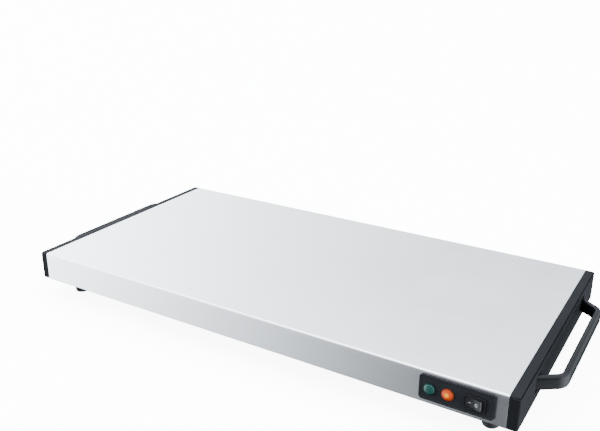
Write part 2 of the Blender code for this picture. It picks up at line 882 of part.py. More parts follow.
def switch_body_solid():
    """The switch's case round its pivot: bezel, box, snap wings, well and pin holes."""
    front = -switch_pivot_depth
    seat = front + switch_bezel_thickness
    back = front + switch_body_depth
    body = box(-switch_body_length / 2, switch_body_length / 2, seat - switch_bezel_thickness / 2, back,
               -switch_body_height / 2, switch_body_height / 2)
    face = rounded_rect(switch_bezel_length, switch_bezel_height, switch_bezel_thickness)
    bezel = prism(face, "Y", front, seat)
    wing_front = -half_depth + plug_back + touch_gap - pivot_y
    wing_back = wing_front + wing_depth
    wings = []
    for side in (-1, 1):
        inner, outer = sorted((side * (switch_body_length / 2 - wing_reach),
                               side * (switch_body_length / 2 + wing_reach)))
        wings.append(box(inner, outer, wing_front, wing_back, -wing_height / 2, wing_height / 2))
    body = fuse(fuse(body, bezel), together(wings))
    body = cut(body, box(-well_half, well_half, front - cut_overrun, switch_well, -well_height, well_height))
    pin_hole = well_height + rocker_pin_reach + touch_gap
    return cut(body, rod(rocker_pin_radius + touch_gap, -pin_hole, pin_hole))


def rocker_solid():
    """The rocker round its pins: two faces that meet in a shallow valley, and round skirts."""
    corner_x = rocker_radius * cos(rocker_corner_angle)
    corner_y = -rocker_radius * sin(rocker_corner_angle)
    valley = corner_y + corner_x * tan(rocker_tilt)
    right_end = arc((0, 0), rocker_radius, -rocker_corner_angle, rocker_skirt_angle)
    left_end = [(-x, y) for x, y in reversed(right_end)]
    half = well_height - rocker_clearance
    rocker = prism([(0, valley)] + right_end + left_end, "Z", -half, half)
    reach = well_height + rocker_pin_reach
    return fuse(rocker, rod(rocker_pin_radius, -reach, reach))


def switch_back_y():
    return pivot_y - switch_pivot_depth + switch_body_depth


def rocker_switch():
    """The snap-in switch, its rocker in the on position, and its two flat terminals."""
    place = (switch_x, pivot_y, control_z)
    new_object("switch_body", switch_body_solid(), BLACK_PLASTIC, place)
    new_object("switch_rocker", rocker_solid(), BLACK_PLASTIC, place, -rocker_tilt)
    for name, side in (("supply", -1), ("load", 1)):
        tab = box(-tab_thickness / 2, tab_thickness / 2, touch_gap, touch_gap + tab_length,
                  -tab_width / 2, tab_width / 2)
        spot = (switch_x + side * switch_tab_spacing / 2, switch_back_y(), control_z)
        new_object("switch_" + name + "_terminal", tab, BRASS, spot)


def cord_gland():
    """The snap-in bush that the mains cord enters through."""
    catch = -sheet - touch_gap
    edge = gland_flange / 2
    profile = [
        (gland_bore, -gland_inner_length), (gland_neck_radius - edge / 2, -gland_inner_length),
        (gland_neck_radius - edge / 2, catch - gland_barb_length), (gland_barb_radius, catch),
        (gland_neck_radius, catch), (gland_neck_radius, touch_gap), (gland_flange_radius, touch_gap),
        (gland_flange_radius, touch_gap + edge), (gland_flange_radius - edge, touch_gap + gland_flange),
        (gland_nose_radius, touch_gap + gland_flange), (gland_nose_radius - edge / 2, front_proud),
        (gland_bore, front_proud),
    ]
    place = (gland_x, half_depth, fitting_z)
    new_object("cord_gland", along_y(turned(profile, fine_steps)), BLACK_PLASTIC, place)


def pole_x(number):
    """The X of a terminal pole: 0 is neutral, 1 is live and 2 is earth."""
    return block_x + (number - 1) * pole_pitch


def terminal_block():
    """The three-pole block behind the gland, snapped into the base by two pegs."""
    low = base_top + touch_gap
    high = low + block_height
    block = box(block_x - block_length / 2, block_x + block_length / 2,
                block_y - block_depth / 2, block_y + block_depth / 2, low, high)
    peg = [base_bottom - peg_reach, low + peg_radius]
    pegs = [moved(rod(peg_radius, *peg), (x, y, 0)) for x, y in peg_places()]
    block = fuse(block, together(pegs))
    bores = []
    wells = []
    for number in range(3):
        bore = along_y(rod(pole_bore, -block_depth / 2 - cut_overrun, block_depth / 2 + cut_overrun))
        bores.append(moved(bore, (pole_x(number), block_y, low + pole_height)))
        well = rod(well_radius, high - well_depth, high + cut_overrun)
        wells.append(moved(well, (pole_x(number), block_y, 0)))
    new_object("terminal_block", cut(cut(block, together(bores)), together(wells)), CERAMIC)


def earth_place():
    return block_x + earth_offset_x, block_y - earth_offset_y


def earth_point():
    """The welded stud on the base and the nut that holds the earth lead's ring."""
    x, y = earth_place()
    low = base_top + touch_gap
    stud = [(0, 0), (earth_flange_radius, 0), (earth_flange_radius, earth_flange), (m4_radius, earth_flange),
            (m4_radius, earth_stud_height), (0, earth_stud_height)]
    new_object("earth_stud", turned(stud), ZINC, (x, y, low))
    nut_low = earth_flange + 2 * touch_gap + ring_thickness
    nut = hex_nut(m4_nut_radius, m4_radius + touch_gap, nut_low, nut_low + m4_nut_height)
    new_object("earth_nut", nut, ZINC, (x, y, low))


def run_places():
    """The Y of the straight runs of the element."""
    return [-spreader_depth / 2 + run_margin + i * run_spacing for i in range(run_count)]


def heat_spreader():
    """The aluminium plate that carries heat from the element to the top."""
    outline = rounded_rect(spreader_length, spreader_depth, fold_radius)
    plate = prism(outline, "Z", spreader_bottom, spreader_top)
    low = spreader_bottom - cut_overrun
    high = spreader_top + cut_overrun
    holes = [moved(rod(cover_boss_radius + touch_gap, low, high), (x, 0, 0)) for x in strap_places()]
    holes += [moved(rod(m3_radius + touch_gap, low, high), (x, y, 0)) for x, y in bracket_screw_places()]
    holes.append(moved(rod(fuse_clip_pin + touch_gap, low, high), (fuse_x, fuse_foot_y(), 0)))
    return new_object("heat_spreader", cut(plate, together(holes)), ALUMINIUM)


def element_end_x():
    return spreader_length / 2 + cold_end_reach


def heating_element():
    """The sheathed element: four runs joined by three bends, cold ends at the right."""
    ys = run_places()
    radius = run_spacing / 2
    route = [(element_end_x(), ys[0])]
    for i, y in enumerate(ys[:-1]):
        bend_x, facing = (left_bend_x, -1) if i % 2 == 0 else (right_bend_x, 1)
        for step in range(bend_steps + 1):
            a = -pi / 2 + pi * step / bend_steps
            route.append((bend_x + facing * radius * cos(a), y + radius + radius * sin(a)))
    route.append((element_end_x(), ys[-1]))
    tube("heating_element", [(x, y, element_z) for x, y in route], element_radius, SHEATH, 3)


def strap_outline():
    """A strap seen from its end: flat against the spreader, with a loop under each run."""
    inner = element_radius + touch_gap
    outer = inner + strap_thickness
    strap_low = strap_top - strap_thickness
    start = run_places()[0] - outer - strap_ear
    upper = [(start, strap_top)]
    lower = [(start, strap_low)]
    for y in run_places():
        upper += [(y - inner, strap_top)] + arc((y, element_z), inner, -pi, 0) + [(y + inner, strap_top)]
        lower += [(y - outer, strap_low)] + arc((y, element_z), outer, -pi, 0) + [(y + outer, strap_low)]
    upper.append((-start, strap_top))
    lower.append((-start, strap_low))
    return upper + lower[::-1]


def straps_and_bolts():
    """Two straps pressed over the runs, and the shoulder bolts that hold them and the tray."""
    strap_low = strap_top - strap_thickness
    seat = tray_floor - touch_gap
    tip = top - sheet - touch_gap
    profile = [
        (0, seat - bolt_head_height), (bolt_head_radius - bolt_head_height, seat - bolt_head_height),
        (bolt_head_radius, seat), (shoulder_radius, seat), (shoulder_radius, strap_low - touch_gap),
        (m4_radius, strap_low - touch_gap), (m4_radius, tip), (0, tip),
    ]
    for name, x in zip(("left", "right"), strap_places()):
        strap = prism(strap_outline(), "X", -strap_width / 2, strap_width / 2)
        hole = rod(cover_boss_radius + touch_gap, strap_low - cut_overrun, strap_top + cut_overrun)
        new_object(name + "_element_strap", cut(strap, hole), ZINC, (x, 0, 0))
        new_object(name + "_strap_bolt", turned(profile), ZINC, (x, 0, 0))


def tray_half():
    return spreader_length / 2 - tray_inset, spreader_depth / 2 - tray_inset


def window_cutter(low, high, growth):
    """The opening under the thermostat and the fuse, grown by a clearance."""
    return box(window_left - growth, window_right + growth,
               -window_half_depth - growth, window_half_depth + growth, low, high)


def reflector_tray():
    """The aluminised pan that holds the insulation up against the straps."""
    half_x, half_y = tray_half()
    rim = spreader_bottom - touch_gap
    pan = prism(rounded_rect(2 * half_x, 2 * half_y, fold_radius), "Z", tray_floor, rim)
    inside = rounded_rect(2 * (half_x - tray_sheet), 2 * (half_y - tray_sheet), fold_radius - tray_sheet)
    pan = cut(pan, prism(inside, "Z", tray_floor + tray_sheet, rim + cut_overrun))
    low = tray_floor - cut_overrun
    high = tray_floor + cut_overrun
    openings = [window_cutter(low, high, 0)]
    openings += [moved(rod(shoulder_radius + touch_gap, low, high), (x, 0, 0)) for x in strap_places()]
    for y in (run_places()[0], run_places()[-1]):
        hole = rod(element_radius + touch_gap, half_x - cut_overrun, half_x + cut_overrun, fine_steps)
        openings.append(moved(along_x(hole), (0, y, element_z)))
    new_object("reflector_tray", cut(pan, together(openings)), ALUMINIUM)


def insulation_blanket():
    """The mineral wool slab between the tray and the straps."""
    half_x, half_y = tray_half()
    half_x -= tray_sheet + blanket_clearance
    half_y -= tray_sheet + blanket_clearance
    low = tray_floor + tray_sheet + touch_gap
    high = element_z - element_radius - strap_thickness - 2 * touch_gap
    slab = box(-half_x, half_x, -half_y, half_y, low, high)
    openings = [window_cutter(low - cut_overrun, high + cut_overrun, blanket_clearance)]
    for x in strap_places():
        hole = rod(shoulder_radius + touch_gap, low - cut_overrun, high + cut_overrun)
        openings.append(moved(hole, (x, 0, 0)))
    new_object("insulation_blanket", cut(slab, together(openings)), WOOL)


def element_terminals():
    """The collared tabs on the element's two cold ends."""
    for name, y in (("live", run_places()[0]), ("neutral", run_places()[-1])):
        half = element_collar_size / 2
        collar = box(touch_gap, touch_gap + element_collar, -half, half, -half, half)
        blade = box(element_collar / 2, touch_gap + element_collar + element_tab,
                    -tab_width / 2, tab_width / 2, -tab_thickness / 2, tab_thickness / 2)
        new_object(name + "_element_terminal", fuse(collar, blade), BRASS, (element_end_x(), y, element_z))


def bracket_screw_places():
    """The thermostat bracket's two screws, in front of it and behind it."""
    return [(thermostat_x, side * bracket_hole_pitch) for side in (-1, 1)]


def thermostat():
    """The bimetal thermostat against the spreader, with its bracket and two screws."""
    lip_top = spreader_bottom - touch_gap
    lip_bottom = lip_top - cup_lip
    cup_bottom = lip_top - cup_height
    cup = [(0, lip_top), (cup_lip_radius, lip_top), (cup_lip_radius, lip_bottom), (cup_radius, lip_bottom),
           (cup_radius, cup_bottom), (0, cup_bottom)]
    place = (thermostat_x, 0, 0)
    new_object("thermostat_cup", turned(cup, fine_steps), ALUMINIUM, place)
    body_top = cup_bottom - touch_gap
    body = rod(thermostat_radius, body_top - thermostat_height, body_top, fine_steps)
    reach = thermostat_radius + thermostat_tab_reach
    z = thermostat_tab_z()
    tabs = box(-reach, reach, -tab_width / 2, tab_width / 2, z - tab_thickness / 2, z + tab_thickness / 2)
    new_object("thermostat_body", fuse(body, tabs), BLACK_PLASTIC, place)
    bracket_top = lip_bottom - touch_gap
    bracket_low = bracket_top - bracket_thickness
    outline = rounded_rect(bracket_width, bracket_length, fold_radius, (0, 0), 3)
    plate = prism(outline, "Z", bracket_low, bracket_top)
    plate = fuse(plate, rod(cup_lip_radius + bracket_thickness, bracket_low, bracket_top, fine_steps))
    low = bracket_low - cut_overrun
    high = bracket_top + cut_overrun
    holes = [rod(cup_radius + touch_gap, low, high, fine_steps)]
    for side in (-1, 1):
        holes.append(moved(rod(m3_radius + touch_gap, low, high), (0, side * bracket_hole_pitch, 0)))
    new_object("thermostat_bracket", cut(plate, together(holes)), ZINC, place)
    seat = bracket_low - touch_gap
    for name, (x, y) in zip(("front", "rear"), bracket_screw_places()):
        one = screw(m3_radius, m3_head_radius, m3_head_height, spreader_top - seat)
        new_object("bracket_screw_" + name, one, ZINC, (x, y, seat))


def thermostat_tab_z():
    """The tabs leave the thermostat's body close to its foot."""
    body_bottom = spreader_bottom - 2 * touch_gap - cup_height - thermostat_height
    return body_bottom + 2 * tab_thickness


def thermostat_tab_end(side):
    return thermostat_x + side * (thermostat_radius + thermostat_tab_reach)


def fuse_foot_y():
    return fuse_radius + touch_gap + fuse_clip_sheet + fuse_clip_foot / 2


def thermal_fuse():
    """The one-shot fuse under the spreader, and the riveted clip that holds it there."""
    half = fuse_length / 2
    pin = half + fuse_pin_length
    profile = [(0, -pin), (fuse_pin_radius, -pin), (fuse_pin_radius, -half), (fuse_radius, -half),
               (fuse_radius, half), (fuse_pin_radius, half), (fuse_pin_radius, pin), (0, pin)]
    new_object("thermal_fuse", along_x(turned(profile)), CERAMIC, (fuse_x, 0, fuse_z))
    ear = spreader_bottom - touch_gap
    inner = fuse_radius + touch_gap
    outer = inner + fuse_clip_sheet
    foot = outer + fuse_clip_foot
    hook = [(-outer, ear), (-inner, ear)] + arc((0, fuse_z), inner, -pi, 0)
    hook += [(inner, ear), (foot, ear), (foot, ear - fuse_clip_sheet), (outer, ear - fuse_clip_sheet)]
    hook += arc((0, fuse_z), outer, 0, -pi)
    clip = prism(hook, "X", fuse_x - fuse_clip_width / 2, fuse_x + fuse_clip_width / 2)
    rivet = moved(rod(fuse_clip_pin, ear - fuse_clip_sheet / 2, spreader_top), (fuse_x, fuse_foot_y(), 0))
    new_object("fuse_clip", fuse(clip, rivet), ZINC)


def pole_height_z():
    return base_top + touch_gap + pole_height


def supply_leads():
    """The live and neutral leads that start at the terminal block."""
    bend = lead_bend
    face = block_y - block_depth / 2 - touch_gap
    pole_z = pole_height_z()
    tab_y = switch_back_y() + 2 * touch_gap + tab_length
    live_x = switch_x - switch_tab_spacing / 2
    live_pole = pole_x(1)
    rear = spreader_depth / 2
    aisle = spreader_length / 2
    live = [
        (live_x, tab_y, control_z), (live_x, tab_y + bend / 2, control_z),
        (live_x - bend / 4, -rear, middle_lane),
        (aisle + bend / 4, -rear + 2 * bend, low_lane), (aisle - bend / 2, 0, low_lane),
        (live_pole + bend, rear - 3 * bend, low_lane), (live_pole, rear - bend, low_lane),
        (live_pole, face - bend / 2, pole_z), (live_pole, face, pole_z),
    ]
    tube("live_lead", smooth_route(live), lead_radius, BROWN_WIRE)

    neutral_pole = pole_x(0)
    cold = element_tab_end() + touch_gap
    run = run_places()[-1]
    neutral = [
        (neutral_pole, face, pole_z), (neutral_pole, face - 3 * bend / 4, pole_z),
        (neutral_pole + bend / 3, rear - bend / 2, middle_lane + lead_radius),
        (live_pole + bend, rear - bend, middle_lane + lead_radius),
        (aisle, run + bend / 2, middle_lane + lead_radius), (riser_x - bend / 3, run, middle_lane + bend / 4),
        (riser_x, run, middle_lane + bend), (riser_x, run, element_z - bend / 2),
        (riser_x - bend / 4, run, element_z - bend / 6),
        (cold + bend / 4, run, element_z), (cold, run, element_z),
    ]
    tube("neutral_lead", smooth_route(neutral), lead_radius, BLUE_WIRE)


def element_tab_end():
    return element_end_x() + touch_gap + element_collar + element_tab


def heating_leads():
    """The leads from the switch through the fuse and the thermostat to the element."""
    bend = lead_bend
    tab_y = switch_back_y() + 2 * touch_gap + tab_length
    load_x = switch_x + switch_tab_spacing / 2
    front = -spreader_depth / 2
    aisle = spreader_length / 2
    pin = fuse_length / 2 + fuse_pin_length + touch_gap
    fuse_end = fuse_x + pin
    rise = fuse_end + bend / 2
    switched = [
        (load_x, tab_y, control_z), (load_x, tab_y + bend / 2, control_z),
        (load_x - bend / 4, front, high_lane),
        (aisle - bend, front + 2 * bend, high_lane), ((aisle + rise) / 2, front / 3, high_lane),
        (rise + bend / 3, -bend / 2, high_lane),
        (rise + bend / 8, -bend / 8, (high_lane + fuse_z) / 2 - bend / 4),
        (rise - bend / 8, 0, fuse_z - bend / 4), (fuse_end + bend / 6, 0, fuse_z), (fuse_end, 0, fuse_z),
    ]
    tube("switched_lead", smooth_route(switched), lead_radius, BROWN_WIRE)

    start = fuse_x - pin
    tab = thermostat_tab_end(1) + touch_gap
    tab_z = thermostat_tab_z()
    half_way = (start + tab) / 2
    between = [
        (start, 0, fuse_z), (start - bend / 6, 0, fuse_z), (half_way + bend / 8, 0, fuse_z - bend / 6),
        (half_way, 0, (fuse_z + tab_z) / 2), (half_way - bend / 8, 0, tab_z + bend / 6),
        (tab + bend / 6, 0, tab_z), (tab, 0, tab_z),
    ]
    tube("fuse_lead", smooth_route(between), lead_radius, WHITE_WIRE)

    cold = element_tab_end() + touch_gap
    run = run_places()[0]
    tab = thermostat_tab_end(-1) - touch_gap
    down = tab - bend / 2
    heating = [
        (tab, 0, tab_z), (tab - bend / 6, 0, tab_z),
        (down, 0, tab_z - bend / 3), (down, 0, middle_lane + bend / 3),
        (down + bend / 2, -bend / 3, middle_lane), (thermostat_x, -bend, middle_lane),
        ((thermostat_x + aisle) / 2, front / 2, middle_lane),
        (aisle - bend, run + bend / 2, middle_lane), (aisle + bend, run, middle_lane),
        (riser_x - bend / 8, run, middle_lane + bend / 2),
        (riser_x, run, (middle_lane + element_z) / 2), (riser_x - bend / 4, run, element_z - bend / 6),
        (cold + bend / 4, run, element_z), (cold, run, element_z),
    ]
    tube("thermostat_lead", smooth_route(heating), lead_radius, WHITE_WIRE)


def green_lamp_lead():
    """From the green lamp down and along the floor, then up to the switch's load tab."""
    bend = lead_bend
    lane = bottom + bend / 2
    x = lamp_places()["green"] + lamp_lead_spacing / 2
    out = lamp_out_y()
    tab_x = switch_x + switch_tab_spacing / 2
    tab_y = switch_back_y() + touch_gap + tab_length / 2
    under_tab = control_z - tab_width / 2 - touch_gap
    route = [
        (x, lamp_start_y(), control_z), (x, out, control_z),
        (x + bend / 5, out + bend / 3, control_z - bend / 3),
        (lamp_places()["amber"] - bend / 4, out + bend / 2, lane),
        (tab_x - 2 * bend / 3, out + bend / 2, lane),
        (tab_x - bend / 8, tab_y + bend / 8, lane + bend / 8), (tab_x, tab_y, under_tab - bend / 5),
        (tab_x, tab_y, under_tab),
    ]
    tube("green_lamp_lead", smooth_route(route), lamp_lead_radius, BROWN_WIRE)


def amber_lamp_lead():
    """From the amber lamp up to the live tab of the element."""
    bend = lead_bend
    x = lamp_places()["amber"] + lamp_lead_spacing / 2
    front = -spreader_depth / 2
    run = run_places()[0]
    blade_x = element_tab_end() - element_tab / 2
    blade_low = element_z - tab_thickness / 2 - touch_gap
    route = [
        (x, lamp_start_y(), control_z), (x, lamp_out_y(), control_z),
        (spreader_length / 2, front - bend / 2, control_z), (blade_x - bend / 8, front + bend / 2, control_z),
        (blade_x, run - bend / 2, control_z + bend / 6), (blade_x, run, blade_low - bend / 3),
        (blade_x, run, blade_low),
    ]
    tube("amber_lamp_lead", smooth_route(route), lamp_lead_radius, WHITE_WIRE)


def lamp_start_y():
    return bulb_foot_y() + touch_gap


def lamp_out_y():
    """Where a lamp's leads are clear of the back of its body."""
    return -panel_face + lamp_body_depth + lead_bend / 4


def lamp_neutral_leads():
    """The jumper from lamp to lamp, and the lead that joins both to the neutral pole."""
    bend = lead_bend
    start = lamp_start_y()
    out = lamp_out_y()
    joint_y = out - bend / 12
    over = control_z + bend / 4
    from_amber = lamp_places()["amber"] - lamp_lead_spacing / 2
    from_green = lamp_places()["green"] - lamp_lead_spacing / 2
    jumper = [
        (from_amber, start, control_z), (from_amber, joint_y, control_z), (from_amber - bend / 4, out, over),
        (from_green + bend / 2, out, over), (from_green + bend / 6, joint_y, over),
        (from_green, joint_y, over - bend / 12),
        (from_green, joint_y, control_z + lamp_lead_radius + touch_gap),
    ]
    tube("lamp_jumper_lead", smooth_route(jumper), lamp_lead_radius, BLUE_WIRE)

    front = -spreader_depth / 2
    pole_z = pole_height_z()
    end_x = pole_x(0) - lead_radius - touch_gap
    end_y = block_y - block_depth / 2 - bend / 4
    aisle = from_green - 2 * bend
    back = [
        (from_green, start, control_z), (from_green, out, control_z), (from_green, out + bend / 2, control_z),
        (from_green, front - bend / 4, middle_lane), (from_green - bend, front + bend, low_lane),
        (aisle, 0, low_lane), (aisle, -front - bend, low_lane),
        (end_x - bend / 2, end_y - bend / 3, low_lane + bend / 8),
        (end_x - bend / 4, end_y, pole_z), (end_x, end_y, pole_z),
    ]
    tube("lamp_neutral_lead", smooth_route(back), lamp_lead_radius, BLUE_WIRE)


def earth_lead():
    """The earth lead from the block, with its ring round the stud."""
    bend = lead_bend
    x, y = earth_place()
    face = block_y - block_depth / 2 - touch_gap
    pole = pole_x(2)
    pole_z = pole_height_z()
    hole = m4_radius + touch_gap
    ring_low = base_top + 2 * touch_gap + earth_flange
    ring = [(hole, 0), (ring_radius, 0), (ring_radius, ring_thickness), (hole, ring_thickness)]
    ring_solid = moved(turned(ring), (x, y, ring_low))
    lug_z = ring_low + ring_thickness / 2
    width = lead_radius
    lug = box(x - ring_radius - bend / 4, x - hole - touch_gap, y - width, y + width,
              ring_low, ring_low + ring_thickness)
    crimp = x - ring_radius - bend / 6
    route = [
        (pole, face, pole_z), (pole, face - bend / 3, pole_z),
        (pole + bend / 3, y - bend / 8, pole_z - bend / 8),
        (crimp - bend / 2, y, lug_z + lead_radius), (crimp, y, lug_z + lead_radius / 2),
    ]
    solid = fuse(fuse(ring_solid, lug), tube_solid(smooth_route(route), lead_radius))
    new_object("earth_lead", solid, GREEN_WIRE)


def build():
    clear_scene()
    top_cover()
    base_plate()
    end_caps()
    handles()
    feet()
    base_screws()
    control_panel()
    pilot_lamps()
    rocker_switch()
    cord_gland()
    terminal_block()
    earth_point()
    heat_spreader()
    heating_element()
    straps_and_bolts()
    reflector_tray()
    insulation_blanket()
    element_terminals()
    thermostat()
    thermal_fuse()
    supply_leads()
    heating_leads()
    green_lamp_lead()
    amber_lamp_lead()
    lamp_neutral_leads()
    earth_lead()


build()
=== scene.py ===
"""The looks of a low electric warming tray: brushed steel top, dark moulded ends, lamps and rocker."""
import json
from math import cos, pi, radians, sin, tan

import bmesh
import bpy
from bpy.props import FloatProperty, FloatVectorProperty, IntProperty, PointerProperty
from mathutils import Matrix, Vector, noise


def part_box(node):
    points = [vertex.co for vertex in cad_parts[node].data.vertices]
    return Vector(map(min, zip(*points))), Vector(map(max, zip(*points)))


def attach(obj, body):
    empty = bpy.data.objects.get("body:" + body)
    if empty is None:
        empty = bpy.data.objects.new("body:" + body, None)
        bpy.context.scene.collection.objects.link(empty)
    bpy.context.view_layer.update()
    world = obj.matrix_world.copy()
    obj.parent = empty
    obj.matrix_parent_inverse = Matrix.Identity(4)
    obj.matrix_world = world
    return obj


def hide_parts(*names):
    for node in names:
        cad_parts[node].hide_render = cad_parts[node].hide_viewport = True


bl_info = {
    "name": "Warming Tray",
    "version": (1, 0, 0),
    "blender": (4, 5, 0),
    "location": "View3D > Sidebar > Warming Tray",
    "description": "Fine meshes, finishes and a studio for a low electric warming tray",
    "category": "Object",
}

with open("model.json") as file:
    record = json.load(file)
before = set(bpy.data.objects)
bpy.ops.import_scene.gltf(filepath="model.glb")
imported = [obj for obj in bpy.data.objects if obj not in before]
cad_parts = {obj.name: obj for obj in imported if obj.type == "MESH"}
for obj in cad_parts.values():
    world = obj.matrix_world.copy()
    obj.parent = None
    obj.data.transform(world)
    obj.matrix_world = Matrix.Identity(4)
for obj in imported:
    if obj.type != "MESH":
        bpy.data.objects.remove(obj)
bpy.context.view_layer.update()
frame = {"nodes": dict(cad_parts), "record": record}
node_slots = {part["node"]: part["material_slot"] for part in frame["record"]["subparts"]}
finishes = {}
touch_gap = 0.0003
weld = 0.00001


def tint(name, description, default):
    """A property that holds a colour."""
    return FloatVectorProperty(name=name, description=description, subtype="COLOR",
                               size=4, min=0.0, max=1.0, default=(*default, 1.0))


def metres(name, description, default):
    """A property that holds a length."""
    return FloatProperty(name=name, description=description, subtype="DISTANCE", unit="LENGTH",
                         min=0.0, precision=5, default=default)


def degrees(name, description, default):
    """A property that holds an angle, here given in degrees."""
    return FloatProperty(name=name, description=description, subtype="ANGLE", default=radians(default))


def amount(name, description, default):
    """A property that holds a plain number."""
    return FloatProperty(name=name, description=description, default=default)


def count(name, description, default):
    """A property that holds a whole number."""
    return IntProperty(name=name, description=description, min=3, default=default)


class TrayColours(bpy.types.PropertyGroup):
    """Colours of the tray's finishes."""
    steel: tint("Steel", "Brushed stainless cover", (0.72, 0.73, 0.74))
    zinc: tint("Zinc", "Zinc plated steel inside and below", (0.56, 0.58, 0.60))
    aluminium: tint("Aluminium", "Mill finish sheet", (0.80, 0.81, 0.82))
    sheath: tint("Sheath", "Heat-darkened element tube", (0.10, 0.095, 0.09))
    brass: tint("Brass", "Plain brass tabs", (0.72, 0.52, 0.22))
    charcoal: tint("Charcoal", "Textured moulding of the end caps", (0.0078, 0.0081, 0.0089))
    handle: tint("Handle", "Satin moulding of the handles", (0.0030, 0.0032, 0.0038))
    panel: tint("Panel", "Satin moulding of the control panel", (0.0118, 0.0124, 0.0140))
    black: tint("Black", "Semi-gloss switch moulding", (0.008, 0.008, 0.009))
    rubber: tint("Rubber", "Matt rubber of the feet", (0.010, 0.0105, 0.011))
    marks: tint("Marks", "Printed marks of the rocker", (0.26, 0.27, 0.28))
    green: tint("Green", "Unlit green lens", (0.009, 0.040, 0.034))
    # Painted shade: the darker rings of the unlit green lens, between the facets inside
    green_facet_shade: tint("Green facets", "Shaded facets of the green lens", (0.002, 0.014, 0.011))
    amber: tint("Amber", "Plastic of the amber lens", (0.12, 0.016, 0.004))
    amber_glow: tint("Amber glow", "Lit body of the amber lens", (0.54, 0.055, 0.0))
    amber_core: tint("Amber core", "Bright spot of the amber lens", (1.0, 0.45, 0.0))
    wool: tint("Wool", "Mineral wool", (0.72, 0.70, 0.62))
    ceramic: tint("Ceramic", "Terminal block and fuse", (0.83, 0.81, 0.76))
    floor: tint("Floor", "Studio floor", (0.93, 0.93, 0.94))


class TrayShell(bpy.types.PropertyGroup):
    """Softened edges of the shells and of the pieces inside."""
    sheet_edge: metres("Sheet edge", "Rounding of cut sheet edges", 0.00015)
    cap_edge: metres("Cap edge", "Rounding of the end caps' edges", 0.0005)
    cap_round: metres("Cap round", "Rounding of a cap's long upper edge in the frame", 0.0015)
    line_width: metres("Line width", "Width of the fine groove along that edge", 0.0011)
    line_depth: metres("Line depth", "Depth of that groove", 0.0016)
    panel_edge: metres("Panel edge", "Rounding of the control panel's edges", 0.00035)
    inner_edge: metres("Inner edge", "Rounding of the pieces inside", 0.0001)


class TrayHandles(bpy.types.PropertyGroup):
    """The two bow handles."""
    width: metres("Width", "Thickness of the bow", 0.0076)
    height: metres("Height", "Height of the bow", 0.0156)
    edge: metres("Edge", "Rounding of the bow's section", 0.0035)
    knee: metres("Knee", "Bend radius between leg and grip", 0.0145)
    root: metres("Root", "From the tray's middle to a leg where it leaves the cap", 0.0934)
    slope: amount("Slope", "How far a leg draws in over its reach", 0.70)
    pad_length: metres("Pad", "Length of the foot in the cap's pocket", 0.0128)
    pad_thickness: metres("Pad thickness", "Thickness of the foot in the pocket", 0.0022)
    pad_edge: metres("Pad edge", "Rounding of the foot", 0.0006)


class TrayLamps(bpy.types.PropertyGroup):
    """The lenses of the two pilot lamps."""
    radius: metres("Radius", "Radius of the lens's flange", 0.0062)
    flange: metres("Flange", "Thickness of the flange", 0.0010)
    flange_edge: metres("Flange edge", "Rounding of the flange", 0.0003)
    dome: metres("Dome", "Height of the dome over the flange", 0.0024)
    dome_radius: metres("Dome radius", "Radius of the dome", 0.0053)
    stem_radius: metres("Stem radius", "Radius of the stem in the lamp's body", 0.0044)
    stem: metres("Stem", "Length of the stem", 0.0040)
    wall: metres("Wall", "Wall of the lens", 0.0009)
    facets: count("Facets", "Facets moulded inside the lens", 14)
    lift: amount("Lift", "How far up the lit lens's bright spot sits", 1.0)


class TraySwitch(bpy.types.PropertyGroup):
    """The rocker switch."""
    radius: metres("Radius", "From the pivot to a facet's outer edge", 0.0084)
    half_height: metres("Half height", "Half of the rocker's height", 0.0049)
    tilt: degrees("Tilt", "How far the rocker is pressed over at rest", 11)
    corner: degrees("Corner", "From the middle line to a facet's outer edge", 34)
    skirt: degrees("Skirt", "How far the round skirt reaches behind the pivot", 26)
    edge: metres("Edge", "Rounding of the rocker's edges", 0.0004)
    case_edge: metres("Case edge", "Rounding of the switch's case", 0.0003)
    bar_length: metres("Bar", "Length of the on mark", 0.0030)
    mark_line: metres("Line", "Line width of the marks", 0.0006)
    ring_radius: metres("Ring", "Radius of the off mark", 0.0016)
    mark_height: metres("Mark height", "How far the marks stand out", 0.00006)


class TrayFeet(bpy.types.PropertyGroup):
    """The four rubber feet."""
    top_radius: metres("Top radius", "Radius under the base plate", 0.0100)
    bottom_radius: metres("Bottom radius", "Radius at the floor", 0.0086)
    rounding: metres("Rounding", "Rounding of the lower edge", 0.0028)
    top_edge: metres("Top edge", "Rounding of the upper edge", 0.0006)
    neck_radius: metres("Neck", "Radius of the neck through the plate", 0.0045)
    barb_radius: metres("Barb", "Radius of the barb over the plate", 0.0056)
    dimple_radius: metres("Dimple", "Radius of the hollow in the sole", 0.0024)
    dimple_depth: metres("Dimple depth", "Depth of the hollow in the sole", 0.0018)
    groove_depth: metres("Groove", "Depth of the ring groove in the sole", 0.0006)
    groove_width: metres("Groove width", "Width of the ring groove", 0.0009)


class TrayFasteners(bpy.types.PropertyGroup):
    """The screws that hold the base plate."""
    radius: metres("Radius", "Radius of the shank", 0.0015)
    head_radius: metres("Head radius", "Radius of the head", 0.0028)
    head_height: metres("Head height", "Height of the head", 0.0018)
    recess_reach: metres("Recess", "From the middle to the end of a recess arm", 0.0016)
    recess_width: metres("Recess width", "Width of a recess arm", 0.00065)
    recess_depth: metres("Recess depth", "Depth of the recess", 0.0011)


class TrayGland(bpy.types.PropertyGroup):
    """The cord's inlet bush."""
    flange_radius: metres("Flange radius", "Radius of the flange", 0.0095)
    flange: metres("Flange", "Thickness of the flange", 0.0026)
    nose_radius: metres("Nose radius", "Radius of the nose", 0.0062)
    bore: metres("Bore", "Radius of the bore", 0.0040)
    neck_radius: metres("Neck", "Radius of the neck in the wall", 0.0064)
    edge: metres("Edge", "Rounding of the flange", 0.0008)
    ridges: count("Ridges", "Grip ridges round the flange", 18)
    ridge_radius: metres("Ridge radius", "Radius of a grip ridge", 0.0006)


